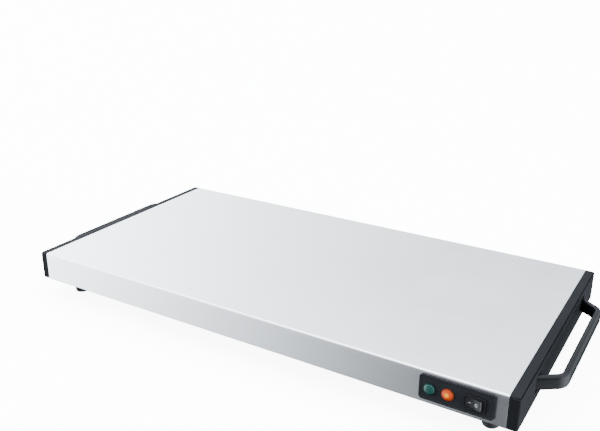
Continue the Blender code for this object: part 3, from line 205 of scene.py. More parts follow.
class TrayWool(bpy.types.PropertyGroup):
    """The mineral wool over the reflector."""
    cell: metres("Cell", "Fineness of the wool's surface", 0.0026)
    nap: metres("Nap", "Depth of the wool's unevenness", 0.0009)
    tuft: metres("Tuft", "Width of a tuft", 0.0080)


class TrayStudio(bpy.types.PropertyGroup):
    """The photograph's camera, and the studio round the tray."""
    camera_place: FloatVectorProperty(
        name="Camera", description="Where the camera stands", subtype="TRANSLATION", unit="LENGTH",
        default=(0.4337, -0.7280, 0.4409))
    camera_turn: degrees("Turn", "How far the camera looks to the left of the tray's depth", 31.6)
    camera_dip: degrees("Dip", "How far the camera looks down", 20.7)
    lens: amount("Lens", "Focal length on a full frame, in mm", 44.52)
    floor_half: metres("Floor", "Half of the floor's width", 12.0)
    wall_height: metres("Walls", "Height of the pale walls round the floor", 12.0)
    floor_glow: amount("Floor glow", "Light that comes through the floor", 9.0)
    fill: amount("Fill", "Light that comes from everywhere", 0.01)
    left_light: amount("Left light", "Strength of the wide light at the left", 20.3)
    left_falloff: amount("Left falloff", "How fast the left light fades", 3.55)
    left_top: amount("Left top", "Where the left light has faded upwards", 1.0)
    left_above: amount("Left above", "Share of the left light over that", 0.02)
    rear_light: amount("Rear light", "Strength of the wide light behind", 1.91)
    rear_falloff: amount("Rear falloff", "How fast the rear light fades", 0.2)
    rear_floor: amount("Rear floor", "Share of the rear light below the horizon", 0.03)
    horizon_top: amount("Horizon top", "Upper edge of the dark band at the horizon", 0.05)
    gap_start: amount("Gap start", "Where the rear light ends towards the right", 0.55)
    gap_end: amount("Gap end", "Where the dark gap at the right is full", 0.86)
    overhead_light: amount("Overhead light", "Strength of the light above", 6.8)
    overhead_start: amount("Overhead start", "Where the overhead light begins", 0.57)
    overhead_end: amount("Overhead end", "Where the overhead light is full", 0.73)
    right_light: amount("Right light", "Strength of the light at the right", 17.2)
    right_falloff: amount("Right falloff", "How fast the right light fades", 3.21)
    right_start: amount("Right start", "Where the right light begins, front to rear", -0.5)
    right_end: amount("Right end", "Where the right light is full", -0.43)
    light_colour: tint("Light colour", "Colour of the lights", (0.87, 0.93, 1.0))


class NodeTree:
    """Short ways to add and join the nodes of a tree."""

    def add(self, kind, links=None, **settings):
        """Adds a node; its inputs are set to values or joined to other nodes' outputs."""
        node = self.tree.nodes.new(kind)
        for key, value in settings.items():
            setattr(node, key, value)
        for key, value in (links or {}).items():
            if isinstance(value, bpy.types.NodeSocket):
                self.tree.links.new(value, node.inputs[key])
            else:
                node.inputs[key].default_value = value
        return node

    def math(self, operation, first, *others):
        """A sum in steps from the first value on, each an output or a plain number."""
        for other in others or (0.0,):
            first = self.add("ShaderNodeMath", {0: first, 1: other}, operation=operation).outputs[0]
        return first

    def times(self, *values):
        return self.math("MULTIPLY", *values)

    def plus(self, *values):
        return self.math("ADD", *values)


class Finish(NodeTree):
    """A material with its Principled shader."""

    def __init__(self, name, colour, roughness, metallic=0.0, **settings):
        self.material = bpy.data.materials.new(name)
        self.material.use_nodes = True
        self.tree = self.material.node_tree
        self.shader = self.tree.nodes["Principled BSDF"]
        basics = {"Base Color": shade(colour, 1), "Roughness": roughness, "Metallic": metallic}
        for key, value in {**basics, **settings}.items():
            self.shader.inputs[key].default_value = value
        self.place = self.add("ShaderNodeTexCoord").outputs["Object"]

    def feed(self, name, output):
        """Joins an output to one of the shader's inputs."""
        self.tree.links.new(output, self.shader.inputs[name])

    def noise(self, scale, stretch=(1, 1, 1), detail=2.0, roughness=0.5):
        """Noise on the object's own metres, with its grain drawn out where the stretch is low."""
        mapping = self.add("ShaderNodeMapping", {"Vector": self.place, "Scale": stretch})
        field = self.add("ShaderNodeTexNoise", {
            "Vector": mapping.outputs["Vector"], "Scale": scale, "Detail": detail, "Roughness": roughness})
        return field.outputs["Fac"]

    def span(self, value, low, high, from_low=0.3, from_high=0.7):
        """A value's usual range spread over another."""
        node = self.add("ShaderNodeMapRange", {
            "Value": value, "From Min": from_low, "From Max": from_high, "To Min": low, "To Max": high})
        return node.outputs["Result"]

    def vary(self, value, colour, dark, light):
        """Lets the base colour run between two shades of one colour, by a noise's usual range."""
        mix = self.add("ShaderNodeMix", {
            "Factor": self.span(value, 0, 1), 6: shade(colour, dark), 7: shade(colour, light)},
            data_type="RGBA", clamp_factor=True)
        self.feed("Base Color", mix.outputs[2])

    def ramp(self, value, stops):
        """A colour read from a row of stops, by a value from 0 to 1."""
        node = self.add("ShaderNodeValToRGB", {"Fac": value})
        row = node.color_ramp.elements
        while len(row) < len(stops):
            row.new(1.0)
        for element, (position, colour) in zip(row, stops):
            element.position = position
            element.color = shade(colour, 1)
        return node.outputs["Color"]

    def bump(self, value, depth, strength=1.0):
        """Fine relief, its depth in metres."""
        node = self.add("ShaderNodeBump", {"Height": value, "Distance": depth, "Strength": strength})
        self.feed("Normal", node.outputs["Normal"])


def shade(colour, factor):
    """A colour made darker or lighter."""
    return tuple(min(1.0, channel * factor) for channel in tuple(colour)[:3]) + (1.0,)


def brushed_metal(name, colour, roughness, grain, along, contrast):
    """Sheet or rod metal with the fine scratches that a belt leaves along one axis."""
    scratch_draw, broad_share, touch_scale = 0.012, 0.3, 11.0
    scratch_depth, scratch_strength = 0.00002, 0.12
    finish = Finish(name, colour, roughness, metallic=1.0)
    stretch = [scratch_draw if axis == along else 1.0 for axis in range(3)]
    fine = finish.noise(grain, stretch, detail=3.0)
    broad = finish.noise(grain / 8, stretch, detail=2.0)
    both = finish.add("ShaderNodeMix", {"Factor": broad_share, "A": fine, "B": broad}).outputs["Result"]
    finish.vary(both, colour, 1 - contrast, 1 + contrast)
    touched = finish.noise(touch_scale, detail=4.0, roughness=0.6)
    brushed = finish.span(both, roughness - 0.02, roughness + 0.03)
    finish.feed("Roughness", finish.plus(brushed, finish.span(touched, 0.0, 0.04)))
    finish.bump(fine, scratch_depth, scratch_strength)
    return finish.material


def moulded(name, colour, roughness, grain, depth, strength, gloss):
    """Injection moulded plastic with a fine spark-eroded texture."""
    blotch_scale = 18.0
    finish = Finish(name, colour, roughness, **{"Specular IOR Level": gloss})
    texture = finish.noise(grain, detail=2.0)
    finish.vary(finish.noise(blotch_scale, detail=3.0), colour, 0.9, 1.12)
    finish.feed("Roughness", finish.span(texture, roughness - 0.06, roughness + 0.08))
    finish.bump(texture, depth, strength)
    return finish.material


def wire_sleeve(name, colour, braid):
    """A lead's sleeve: smooth silicone, or a fine glass braid."""
    finish = Finish(name, colour, 0.75 if braid else 0.45)
    texture = finish.noise(2600.0 if braid else 300.0, detail=1.0)
    finish.vary(texture, colour, *((0.75, 1.1) if braid else (0.9, 1.06)))
    finish.bump(texture, 0.0001 if braid else 0.00002, 0.6)
    return finish.material


def lens_plastic(name, colour, lamps, node, stops, gloss, glow):
    """A coloured lens with facets moulded inside, seen as rings: painted highlight and painted shade in an
    unlit one's colour; a lit one glows, most above.
    """
    smooth, facet_share, facet_depth, facet_strength = 0.16, 0.045, 0.00008, 0.35
    middle = extent(node)[2]
    finish = Finish(name, colour, smooth, **{"IOR": 1.5, "Specular IOR Level": gloss})
    centred = finish.add("ShaderNodeMapping", {
        "Vector": finish.place, "Scale": (1, 0, 1), "Location": (-middle.x, 0, -middle.z)})
    reach = finish.add("ShaderNodeVectorMath", {0: centred.outputs["Vector"]}, operation="LENGTH")
    parts = finish.add("ShaderNodeSeparateXYZ", {0: centred.outputs["Vector"]})
    angle = finish.math("ARCTAN2", parts.outputs[2], parts.outputs[0])
    wave = finish.math("SINE", finish.times(angle, float(lamps.facets)))
    share = finish.math("DIVIDE", reach.outputs["Value"], lamps.radius)
    place = finish.plus(share, finish.times(wave, facet_share))
    if glow:
        below = finish.math("DIVIDE", parts.outputs[2], -lamps.radius)
        inward = finish.math("SUBTRACT", 1.0, share)
        place = finish.plus(place, finish.times(below, inward, lamps.lift))
    colours = finish.ramp(place, stops)
    if glow:
        finish.feed("Emission Color", colours)
        finish.shader.inputs["Emission Strength"].default_value = glow
    else:
        # The unlit lens's rings of painted highlight and painted shade go into its base colour
        finish.feed("Base Color", colours)
    finish.bump(wave, facet_depth, facet_strength)
    return finish.material


def green_stops(colours):
    """The unlit lens from its middle to its rim: its own green, with painted highlight rings and painted
    shade rings.
    """
    # Stops lighter than the lens's green are painted highlights that the facets inside would catch; the
    # darkest stops are painted shade
    return [(0.0, colours.green), (0.36, shade(colours.green, 0.8)), (0.52, shade(colours.green, 1.5)),
            (0.66, colours.green_facet_shade), (0.80, shade(colours.green, 1.25)), (0.92, colours.green_facet_shade)]


def amber_stops(colours):
    """The lit lens from its bright spot to its rim."""
    return [(0.0, colours.amber_core), (0.16, colours.amber_core), (0.34, colours.amber_glow),
            (0.56, shade(colours.amber_glow, 0.75)), (0.74, shade(colours.amber_glow, 0.55)),
            (0.86, shade(colours.amber, 0.5))]


def make_finishes(scene):
    """One material for each of the record's slots, and some for single pieces."""
    colours = scene.tray_colours
    lamps = scene.tray_lamps
    # name, colour, roughness, fineness of the scratches, their axis, contrast
    metals = {
        "stainless_top": ("brushed_stainless", colours.steel, 0.28, 1500.0, 0, 0.03),
        "zinc_steel": ("zinc_plate", colours.zinc, 0.42, 300.0, 2, 0.08),
        "aluminium_sheet": ("mill_aluminium", colours.aluminium, 0.38, 500.0, 0, 0.05),
        "element_sheath": ("darkened_sheath", colours.sheath, 0.55, 400.0, 0, 0.25),
        "brass_tab": ("plain_brass", colours.brass, 0.35, 800.0, 0, 0.06),
    }
    # name, colour, roughness, fineness of the texture, its depth, its strength, gloss
    mouldings = {
        "charcoal_plastic": ("charcoal_moulding", colours.charcoal, 0.50, 900.0, 0.00012, 0.7, 0.008),
        "handle": ("satin_handle", colours.handle, 0.22, 1600.0, 0.00003, 0.3, 0.07),
        "panel_plastic": ("panel_moulding_plastic", colours.panel, 0.45, 1800.0, 0.00004, 0.35, 0.05),
        "black_plastic": ("black_switch_plastic", colours.black, 0.34, 1800.0, 0.00002, 0.2, 0.15),
        "rubber_foot": ("matt_rubber", colours.rubber, 0.75, 1100.0, 0.0001, 0.5, 0.2),
        "marks": ("printed_marks", colours.marks, 0.5, 2400.0, 0.00001, 0.2, 0.3),
        "mineral_wool": ("mineral_wool", colours.wool, 0.95, 500.0, 0.0006, 0.9, 0.1),
        "ceramic": ("glazed_ceramic", colours.ceramic, 0.35, 600.0, 0.00004, 0.3, 0.5),
    }
    # name, colour, whether it is braided
    wires = {
        "brown_wire": ("brown_wire_sleeve", (0.16, 0.065, 0.03), False),
        "blue_wire": ("blue_wire_sleeve", (0.03, 0.10, 0.40), False),
        "white_wire": ("white_wire_sleeve", (0.72, 0.72, 0.68), True),
        "earth_wire": ("earth_wire_sleeve", (0.18, 0.40, 0.05), False),
    }
    # name, colour, sizes, CAD node, colours from the middle out, gloss, glow
    lenses = {
        "green_lens": ("green_lens_plastic", colours.green, lamps, "green_lamp_lens",
                       green_stops(colours), 0.13, 0.0),
        "amber_lens": ("amber_lens_plastic", colours.amber, lamps, "amber_lamp_lens",
                       amber_stops(colours), 0.07, 1.35),
    }
    for make, looks in ((brushed_metal, metals), (moulded, mouldings), (wire_sleeve, wires),
                        (lens_plastic, lenses)):
        for slot, look in looks.items():
            finishes[slot] = make(*look)
    glass = Finish("bulb_glass", (0.9, 0.9, 0.9), 0.05, **{"Transmission Weight": 0.9, "IOR": 1.5})
    finishes["bulb_glass"] = glass.material


def extent(node):
    """A CAD node's lowest corner, its highest corner and its middle."""
    low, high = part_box(node)
    return low, high, (low + high) / 2


def new_object(name, data):
    thing = bpy.data.objects.new(name, data)
    bpy.context.scene.collection.objects.link(thing)
    return thing


def new_thing(name, bm):
    """An object made of a bmesh, which is used up."""
    mesh = bpy.data.meshes.new(name)
    bm.to_mesh(mesh)
    bm.free()
    return new_object(name, mesh)


def settle(thing):
    """Makes a thing's modifiers part of its mesh."""
    graph = bpy.context.evaluated_depsgraph_get()
    mesh = bpy.data.meshes.new_from_object(
        thing.evaluated_get(graph), preserve_all_data_layers=True, depsgraph=graph)
    thing.modifiers.clear()
    thing.data = mesh
    return thing


def discard(thing):
    bpy.data.objects.remove(thing)


def hand_over(piece, slot, nodes=(), body="housing", finish=None):
    """Gives a finished piece its material and its body, and hides the CAD nodes that it stands for."""
    piece.data.materials.clear()
    piece.data.materials.append(finishes[finish or slot])
    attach(piece, body)
    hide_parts(*nodes)
    return piece


def joined_copy(node):
    """A CAD piece's mesh, with its loose triangles joined into one surface of whole faces."""
    bm = bmesh.new()
    bm.from_mesh(frame["nodes"][node].data)
    bmesh.ops.remove_doubles(bm, verts=bm.verts, dist=weld)
    bmesh.ops.dissolve_limit(bm, angle_limit=radians(0.5), verts=bm.verts, edges=bm.edges)
    return bm


def bevelled(thing, width, segments=2, angle=32):
    """Rounds a thing's hard edges."""
    thing.data.shade_smooth()
    bevel = thing.modifiers.new("soft_edges", "BEVEL")
    bevel.width = width
    bevel.segments = segments
    bevel.limit_method = "ANGLE"
    bevel.angle_limit = radians(angle)
    return settle(thing)


def evened(thing):
    """Keeps the flat faces of a rounded thing flat to the eye."""
    shading = thing.modifiers.new("even_shading", "WEIGHTED_NORMAL")
    shading.weight = 100
    return settle(thing)


def mirrored(thing, name):
    """A thing's mirror image, for the tray's other end."""
    image = new_object(name, thing.data.copy())
    image.data.transform(Matrix.Scale(-1, 4, (1, 0, 0)))
    image.data.flip_normals()
    return image


def softened(node, name, width, segments=2, **handing):
    """A CAD piece with its edges rounded off."""
    piece = evened(bevelled(new_thing(name, joined_copy(node)), width, segments))
    return hand_over(piece, node_slots[node], [node], **handing)


def smooth_turned(thing, angle=35):
    thing.data.shade_smooth()
    thing.data.set_sharp_from_angle(angle=radians(angle))
    return thing


def arc(centre, radius, start, end, steps=6):
    """Points along an arc, ends included."""
    turns = (start + (end - start) * i / steps for i in range(steps + 1))
    return [(centre[0] + radius * cos(a), centre[1] + radius * sin(a)) for a in turns]


def quarter(steps):
    """Angles from nothing to a quarter turn, ends included."""
    return [pi / 2 * i / steps for i in range(steps + 1)]


def loft(rings):
    """A closed solid through rings of points, with flat ends."""
    bm = bmesh.new()
    rows = [[bm.verts.new(point) for point in ring] for ring in rings]
    for low, high in zip(rows, rows[1:]):
        for i in range(len(low)):
            j = (i + 1) % len(low)
            bm.faces.new((low[i], low[j], high[j], high[i]))
    bm.faces.new(reversed(rows[0]))
    bm.faces.new(rows[-1])
    bmesh.ops.recalc_face_normals(bm, faces=bm.faces)
    return bm


def prism(outline, low, high):
    """A flat outline drawn out along Z."""
    return loft([[(x, y, z) for x, y in outline] for z in (low, high)])


def turned(profile, steps=48):
    """A solid turned round Z from (radius, height) points, which start and end alike or on the axis."""
    bm = bmesh.new()
    verts = [bm.verts.new((radius, 0, height)) for radius, height in profile]
    edges = [bm.edges.new((a, b)) for a, b in zip(verts, verts[1:]) if a.co.x or b.co.x]
    bmesh.ops.spin(bm, geom=verts + edges, axis=(0, 0, 1), cent=(0, 0, 0), angle=2 * pi, steps=steps)
    bmesh.ops.remove_doubles(bm, verts=bm.verts, dist=weld)
    bmesh.ops.recalc_face_normals(bm, faces=bm.faces)
    return bm


def forward(bm, place):
    """Turns what stands along Z to face the front, and moves it to its place."""
    bm.transform(Matrix.Translation(place) @ Matrix.Rotation(pi / 2, 4, "X"))
    return bm


def merge(thing, other, operation="UNION"):
    """Joins a second thing to the first, or cuts it out, and uses it up."""
    step = thing.modifiers.new("merge", "BOOLEAN")
    step.operation = operation
    step.object = other
    settle(thing)
    discard(other)
    return thing


class Recipe(NodeTree):
    """A Geometry Nodes tree with named inputs, which makes a piece's mesh."""

    def __init__(self, name, inputs):
        self.tree = bpy.data.node_groups.new(name, "GeometryNodeTree")
        ports = self.tree.interface
        ports.new_socket("Geometry", in_out="INPUT", socket_type="NodeSocketGeometry")
        ports.new_socket("Geometry", in_out="OUTPUT", socket_type="NodeSocketGeometry")
        for label, kind in {**inputs, "Finish": "Material"}.items():
            ports.new_socket(label, in_out="INPUT", socket_type="NodeSocket" + kind)
        self.given = self.tree.nodes.new("NodeGroupInput").outputs

    def close(self, geometry):
        """Makes real meshes of what was made, with their material."""
        real = self.add("GeometryNodeRealizeInstances", {"Geometry": geometry})
        painted = self.add("GeometryNodeSetMaterial", {
            "Geometry": real.outputs[0], "Material": self.given["Finish"]})
        self.add("NodeGroupOutput", {"Geometry": painted.outputs[0]})

    def copies(self, points, **turns):
        """Puts the template on each point."""
        shape = self.add("GeometryNodeObjectInfo", {"Object": self.given["Template"]})
        return self.add("GeometryNodeInstanceOnPoints", {
            "Points": points, "Instance": shape.outputs["Geometry"], **turns}).outputs[0]

    def make(self, name, values, start=None):
        """A plain mesh piece, made with these values from a starting mesh."""
        piece = new_object(name, start or bpy.data.meshes.new(name))
        step = piece.modifiers.new("recipe", "NODES")
        step.node_group = self.tree
        for item in self.tree.interface.items_tree:
            if item.in_out == "INPUT" and item.name in values:
                step[item.identifier] = values[item.name]
        return settle(piece)


def grid_recipe():
    """Copies of a template on an even grid, all at one level."""
    recipe = Recipe("even_grid", {
        "Template": "Object", "Columns": "Int", "Rows": "Int",
        "Width": "Float", "Depth": "Float", "Level": "Float"})
    given = recipe.given
    grid = recipe.add("GeometryNodeMeshGrid", {
        "Size X": given["Width"], "Size Y": given["Depth"],
        "Vertices X": given["Columns"], "Vertices Y": given["Rows"]})
    lift = recipe.add("ShaderNodeCombineXYZ", {"Z": given["Level"]})
    placed = recipe.add("GeometryNodeTransform", {
        "Geometry": grid.outputs["Mesh"], "Translation": lift.outputs[0]})
    recipe.close(recipe.copies(placed.outputs[0]))
    return recipe


def ring_recipe():
    """Copies of a template round a circle, each turned with its place."""
    recipe = Recipe("even_ring", {"Template": "Object", "Count": "Int", "Radius": "Float"})
    given = recipe.given
    ring = recipe.add("GeometryNodeMeshCircle", {"Vertices": given["Count"], "Radius": given["Radius"]})
    number = recipe.add("GeometryNodeInputIndex").outputs[0]
    step = recipe.math("DIVIDE", 2 * pi, given["Count"])
    turn = recipe.add("ShaderNodeCombineXYZ", {"Z": recipe.times(number, step)})
    recipe.close(recipe.copies(ring.outputs["Mesh"], Rotation=turn.outputs[0]))
    return recipe


def at_the_corners(name, template, prefix, level, slot):
    """Four copies of a template on a level, which stand for the nodes with one prefix."""
    middle = extent(prefix + "rear_right")[2]
    group = grid_recipe().make(name, {
        "Template": template, "Columns": 2, "Rows": 2, "Width": 2 * middle.x, "Depth": 2 * middle.y,
        "Level": level, "Finish": finishes[slot]})
    discard(template)
    return hand_over(group, slot, [node for node in frame["nodes"] if node.startswith(prefix)])


def bow_recipe():
    """A bent bar with a rounded section, along a line of corners, both ends cut square to X."""
    sizes = ("Width", "Height", "Edge", "Knee", "Start", "Slope")
    recipe = Recipe("bow", dict.fromkeys(sizes, "Float"))
    given = recipe.given
    line = recipe.add("GeometryNodeMeshToCurve", {"Mesh": given["Geometry"]})
    path = recipe.add("GeometryNodeFilletCurve", {
        "Curve": line.outputs[0], "Radius": given["Knee"], "Count": 20, "Limit Radius": True}, mode="POLY")
    upright = recipe.add("GeometryNodeSetCurveNormal", {"Curve": path.outputs[0]}, mode="Z_UP")
    flat = recipe.add("GeometryNodeCurvePrimitiveQuadrilateral", {
        "Width": given["Width"], "Height": given["Height"]}, mode="RECTANGLE")
    section = recipe.add("GeometryNodeFilletCurve", {
        "Curve": flat.outputs[0], "Radius": given["Edge"], "Count": 10, "Limit Radius": True}, mode="POLY")
    bar = recipe.add("GeometryNodeCurveToMesh", {
        "Curve": upright.outputs[0], "Profile Curve": section.outputs[0], "Fill Caps": True})
    parts = recipe.add("ShaderNodeSeparateXYZ", {0: recipe.add("GeometryNodeInputPosition").outputs[0]})
    short = recipe.math("SUBTRACT", given["Start"], parts.outputs[0])
    drawn = recipe.times(recipe.math("SIGN", parts.outputs[1]), given["Slope"], short, -1.0)
    near = recipe.math("LESS_THAN", parts.outputs[0], recipe.plus(given["Start"], given["Width"]))
    step = recipe.add("ShaderNodeCombineXYZ", {"X": short, "Y": drawn})
    cut = recipe.add("GeometryNodeSetPosition", {
        "Geometry": bar.outputs[0], "Selection": near, "Offset": step.outputs[0]})
    recipe.close(cut.outputs[0])
    return recipe


class TrayOperator:
    """What the tray's operators share."""
    bl_options = {"REGISTER", "UNDO"}


class TRAY_OT_finishes(TrayOperator, bpy.types.Operator):
    """Make the finishes and put one on every piece of the frame"""
    bl_idname = "tray.finishes"
    bl_label = "Finishes"

    def execute(self, context):
        make_finishes(context.scene)
        for node, piece in frame["nodes"].items():
            piece.data.materials.clear()
            piece.data.materials.append(finishes[node_slots[node]])
        return {"FINISHED"}


class TRAY_OT_shells(TrayOperator, bpy.types.Operator):
    """Make the steel cover, the end caps and the base plate"""
    bl_idname = "tray.shells"
    bl_label = "Shells"

    def execute(self, context):
        shell = context.scene.tray_shell
        softened("top_cover", "steel_cover", shell.sheet_edge)
        softened("base_plate", "bottom_plate", shell.sheet_edge)
        left = bevelled(new_thing("left_cap", joined_copy("left_end_cap")), shell.cap_edge)
        merge(left, self.line(shell), "DIFFERENCE")
        for cap, node in ((mirrored(left, "right_cap"), "right_end_cap"), (left, "left_end_cap")):
            hand_over(evened(cap), node_slots[node], [node])
        return {"FINISHED"}

    def line(self, shell):
        """A thin bar across the left cap's long upper edge, where the moulding has a fine groove."""
        low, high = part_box("left_end_cap")
        inset = shell.cap_round * (1 - cos(pi / 4))
        spot = Vector((low.x + inset, 0, high.z - inset))
        outward = Vector((-1, 1)).normalized()
        across = Vector((-outward.y, outward.x))
        outline = [outward * shell.line_depth * a + across * shell.line_width / 2 * b
                   for a, b in ((1, 1), (1, -1), (-1, -1), (-1, 1))]
        bar = prism(outline, low.y - touch_gap, high.y + touch_gap)
        return new_thing("cap_line", forward(bar, spot))


class TRAY_OT_handles(TrayOperator, bpy.types.Operator):
    """Make the two bow handles"""
    bl_idname = "tray.handles"
    bl_label = "Handles"

    def execute(self, context):
        sizes = context.scene.tray_handles
        right = self.bow(sizes)
        for side in (-1, 1):
            merge(right, self.pad(sizes, side))
        smooth_turned(right)
        left = mirrored(right, "left_bow_handle")
        for handle, node in ((right, "right_handle"), (left, "left_handle")):
            hand_over(handle, "charcoal_plastic", [node], finish="handle")
        return {"FINISHED"}

    def bow(self, sizes):
        """The right bow, from one pocket to the other."""
        low, high, middle = extent("right_handle")
        cap_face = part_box("right_end_cap")[1].x
        grip = high.x - sizes.width / 2

        def leg_y(x):
            return sizes.root - sizes.slope * (x - cap_face)

        corners = [(x, side * leg_y(x)) for x, side in ((low.x, -1), (grip, -1), (grip, 1), (low.x, 1))]
        line = bpy.data.meshes.new("bow_line")
        line.from_pydata([(x, y, middle.z) for x, y in corners], [(0, 1), (1, 2), (2, 3)], [])
        return bow_recipe().make("right_bow_handle", {
            "Width": sizes.width, "Height": sizes.height, "Edge": sizes.edge, "Knee": sizes.knee,
            "Start": low.x, "Slope": sizes.slope, "Finish": finishes["handle"]}, line)

    def pad(self, sizes, side):
        """A leg's foot, which lies on the floor of the cap's pocket."""
        low, high, middle = extent("right_handle")
        bm = bmesh.new()
        bmesh.ops.create_cube(bm, size=1)
        size = (sizes.pad_thickness, sizes.pad_length, high.z - low.z)
        spot = (low.x + sizes.pad_thickness / 2, side * (high.y - sizes.pad_length / 2), middle.z)
        bm.transform(Matrix.Translation(spot) @ Matrix.Diagonal((*size, 1)))
        corners = [edge for edge in bm.edges if max(vert.co.x for vert in edge.verts) > low.x + weld]
        bmesh.ops.bevel(bm, geom=corners, offset=sizes.pad_edge, segments=3, profile=0.5, affect="EDGES")
        return new_thing("pad", bm)


class TRAY_OT_panel(TrayOperator, bpy.types.Operator):
    """Make the control panel"""
    bl_idname = "tray.panel"
    bl_label = "Control panel"

    def execute(self, context):
        softened("control_panel", "moulded_panel", context.scene.tray_shell.panel_edge, 3)
        return {"FINISHED"}


class TRAY_OT_lamps(TrayOperator, bpy.types.Operator):
    """Make the lenses of the pilot lamps"""
    bl_idname = "tray.lamps"
    bl_label = "Pilot lamps"

    def execute(self, context):
        sizes = context.scene.tray_lamps
        for colour in ("green", "amber"):
            node = colour + "_lamp_lens"
            high, middle = extent(node)[1:]
            seat = (middle.x, high.y - sizes.stem, middle.z)
            lens = new_thing(colour + "_lens_dome", forward(turned(self.profile(sizes)), seat))
            hand_over(smooth_turned(lens), colour + "_lens", [node])
        return {"FINISHED"}

    def profile(self, sizes):
        """A dome over a rounded flange, and a hollow stem."""
        edge = sizes.flange_edge
        hollow = sizes.stem_radius - sizes.wall
        rim = arc((sizes.radius - edge, sizes.flange - edge), edge, 0, pi / 2, 4)
        rise = [(sizes.dome_radius * cos(a), sizes.flange + sizes.dome * sin(a)) for a in quarter(12)[:-1]]
        peak = sizes.flange + sizes.dome
        inside = [(hollow * sin(a), sizes.flange - sizes.wall + (sizes.dome - touch_gap) * cos(a))
                  for a in quarter(8)[1:]]
        end = (hollow, -sizes.stem)
        return [end, (sizes.stem_radius, -sizes.stem), (sizes.stem_radius, 0), (sizes.radius, 0),
                *rim, *rise, (0, peak), (0, peak - sizes.wall - touch_gap), *inside, end]


class TRAY_OT_switch(TrayOperator, bpy.types.Operator):
    """Make the switch's case, its rocker and the marks on it"""
    bl_idname = "tray.switch"
    bl_label = "Rocker switch"

    def execute(self, context):
        sizes = context.scene.tray_switch
        softened("switch_body", "switch_case", sizes.case_edge)
        pivot = Vector(frame["record"]["behaviour"]["joints"][0]["pos_m"])
        pose = Matrix.Translation(pivot) @ Matrix.Rotation(-sizes.tilt, 4, "Z")
        rocker = prism(self.outline(sizes), -sizes.half_height, sizes.half_height)
        rocker.transform(pose)
        button = evened(bevelled(new_thing("rocker_button", rocker), sizes.edge, 3, 25))
        hand_over(button, "black_plastic", ["switch_rocker"], body="rocker")
        marks = self.marks(sizes, pose)
        marks.data.materials.append(finishes["marks"])
        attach(marks, "rocker")
        return {"FINISHED"}

    def facet(self, sizes):
        """The outer edge of the right facet, and the valley where both facets meet."""
        outer = Vector((sizes.radius * cos(sizes.corner), -sizes.radius * sin(sizes.corner)))
        return outer, Vector((0, outer.y + outer.x * tan(sizes.tilt)))

    def outline(self, sizes):
        """The rocker's section round its pivot: two facets, and round skirts behind them."""
        right = arc((0, 0), sizes.radius, -sizes.corner, sizes.skirt, 10)
        left = [(-x, y) for x, y in reversed(right)]
        return [tuple(self.facet(sizes)[1]), *right, *left]

    def marks(self, sizes, pose):
        """A round-ended bar on the left facet and a ring on the right one."""
        line, height = sizes.mark_line / 2, sizes.mark_height
        right = arc((sizes.bar_length / 2 - line, 0), line, -pi / 2, pi / 2, 8)
        bar = prism([*right, *((-x, -y) for x, y in right)], -height, height)
        reach = sizes.ring_radius
        inner = reach - sizes.mark_line
        section = [(inner, -height), (reach, -height), (reach, height), (inner, height), (inner, -height)]
        ring = turned(section, 32)
        outer, valley = self.facet(sizes)
        things = []
        for name, bm, side in (("rocker_marks", bar, -1), ("off_mark", ring, 1)):
            corner = Vector((side * outer.x, outer.y))
            along = ((valley - corner) * -side).normalized()
            middle = (valley + corner) / 2
            facing = Vector((along.y, -along.x))
            axes = Matrix(((along.x, 0, facing.x, middle.x), (along.y, 0, facing.y, middle.y),
                           (0, 1, 0, 0), (0, 0, 0, 1)))
            bm.transform(pose @ axes)
            bmesh.ops.recalc_face_normals(bm, faces=bm.faces)
            things.append(new_thing(name, bm))
        return merge(things[0], things[1])


class TRAY_OT_feet(TrayOperator, bpy.types.Operator):
    """Make the rubber feet"""
    bl_idname = "tray.feet"
    bl_label = "Feet"

    def execute(self, context):
        sizes = context.scene.tray_feet
        template = smooth_turned(new_thing("foot_template", turned(self.profile(sizes))))
        at_the_corners("rubber_feet", template, "foot_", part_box("foot_rear_right")[0].z, "rubber_foot")
        return {"FINISHED"}

    def profile(self, sizes):
        """A tapered foot with a hollow and a groove in its sole, and a barbed neck."""
        plate_low, plate_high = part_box("base_plate")
        shoulder = plate_low.z - touch_gap
        catch = plate_high.z + touch_gap
        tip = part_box("foot_rear_right")[1].z
        groove = (sizes.dimple_radius + sizes.bottom_radius - sizes.rounding) / 2
        half = sizes.groove_width / 2
        sole = [(0, sizes.dimple_depth), (sizes.dimple_radius - touch_gap, sizes.dimple_depth),
                (sizes.dimple_radius, 0), (groove - half, 0), (groove - half / 2, sizes.groove_depth),
                (groove + half / 2, sizes.groove_depth), (groove + half, 0)]
        lower = arc((sizes.bottom_radius - sizes.rounding, sizes.rounding), sizes.rounding, -pi / 2, 0, 10)
        edge = sizes.top_edge
        upper = arc((sizes.top_radius - edge, shoulder - edge), edge, 0, pi / 2, 4)
        return [*sole, *lower, *upper, (sizes.neck_radius, shoulder), (sizes.neck_radius, catch),
                (sizes.barb_radius, catch), (sizes.neck_radius, tip), (0, tip)]


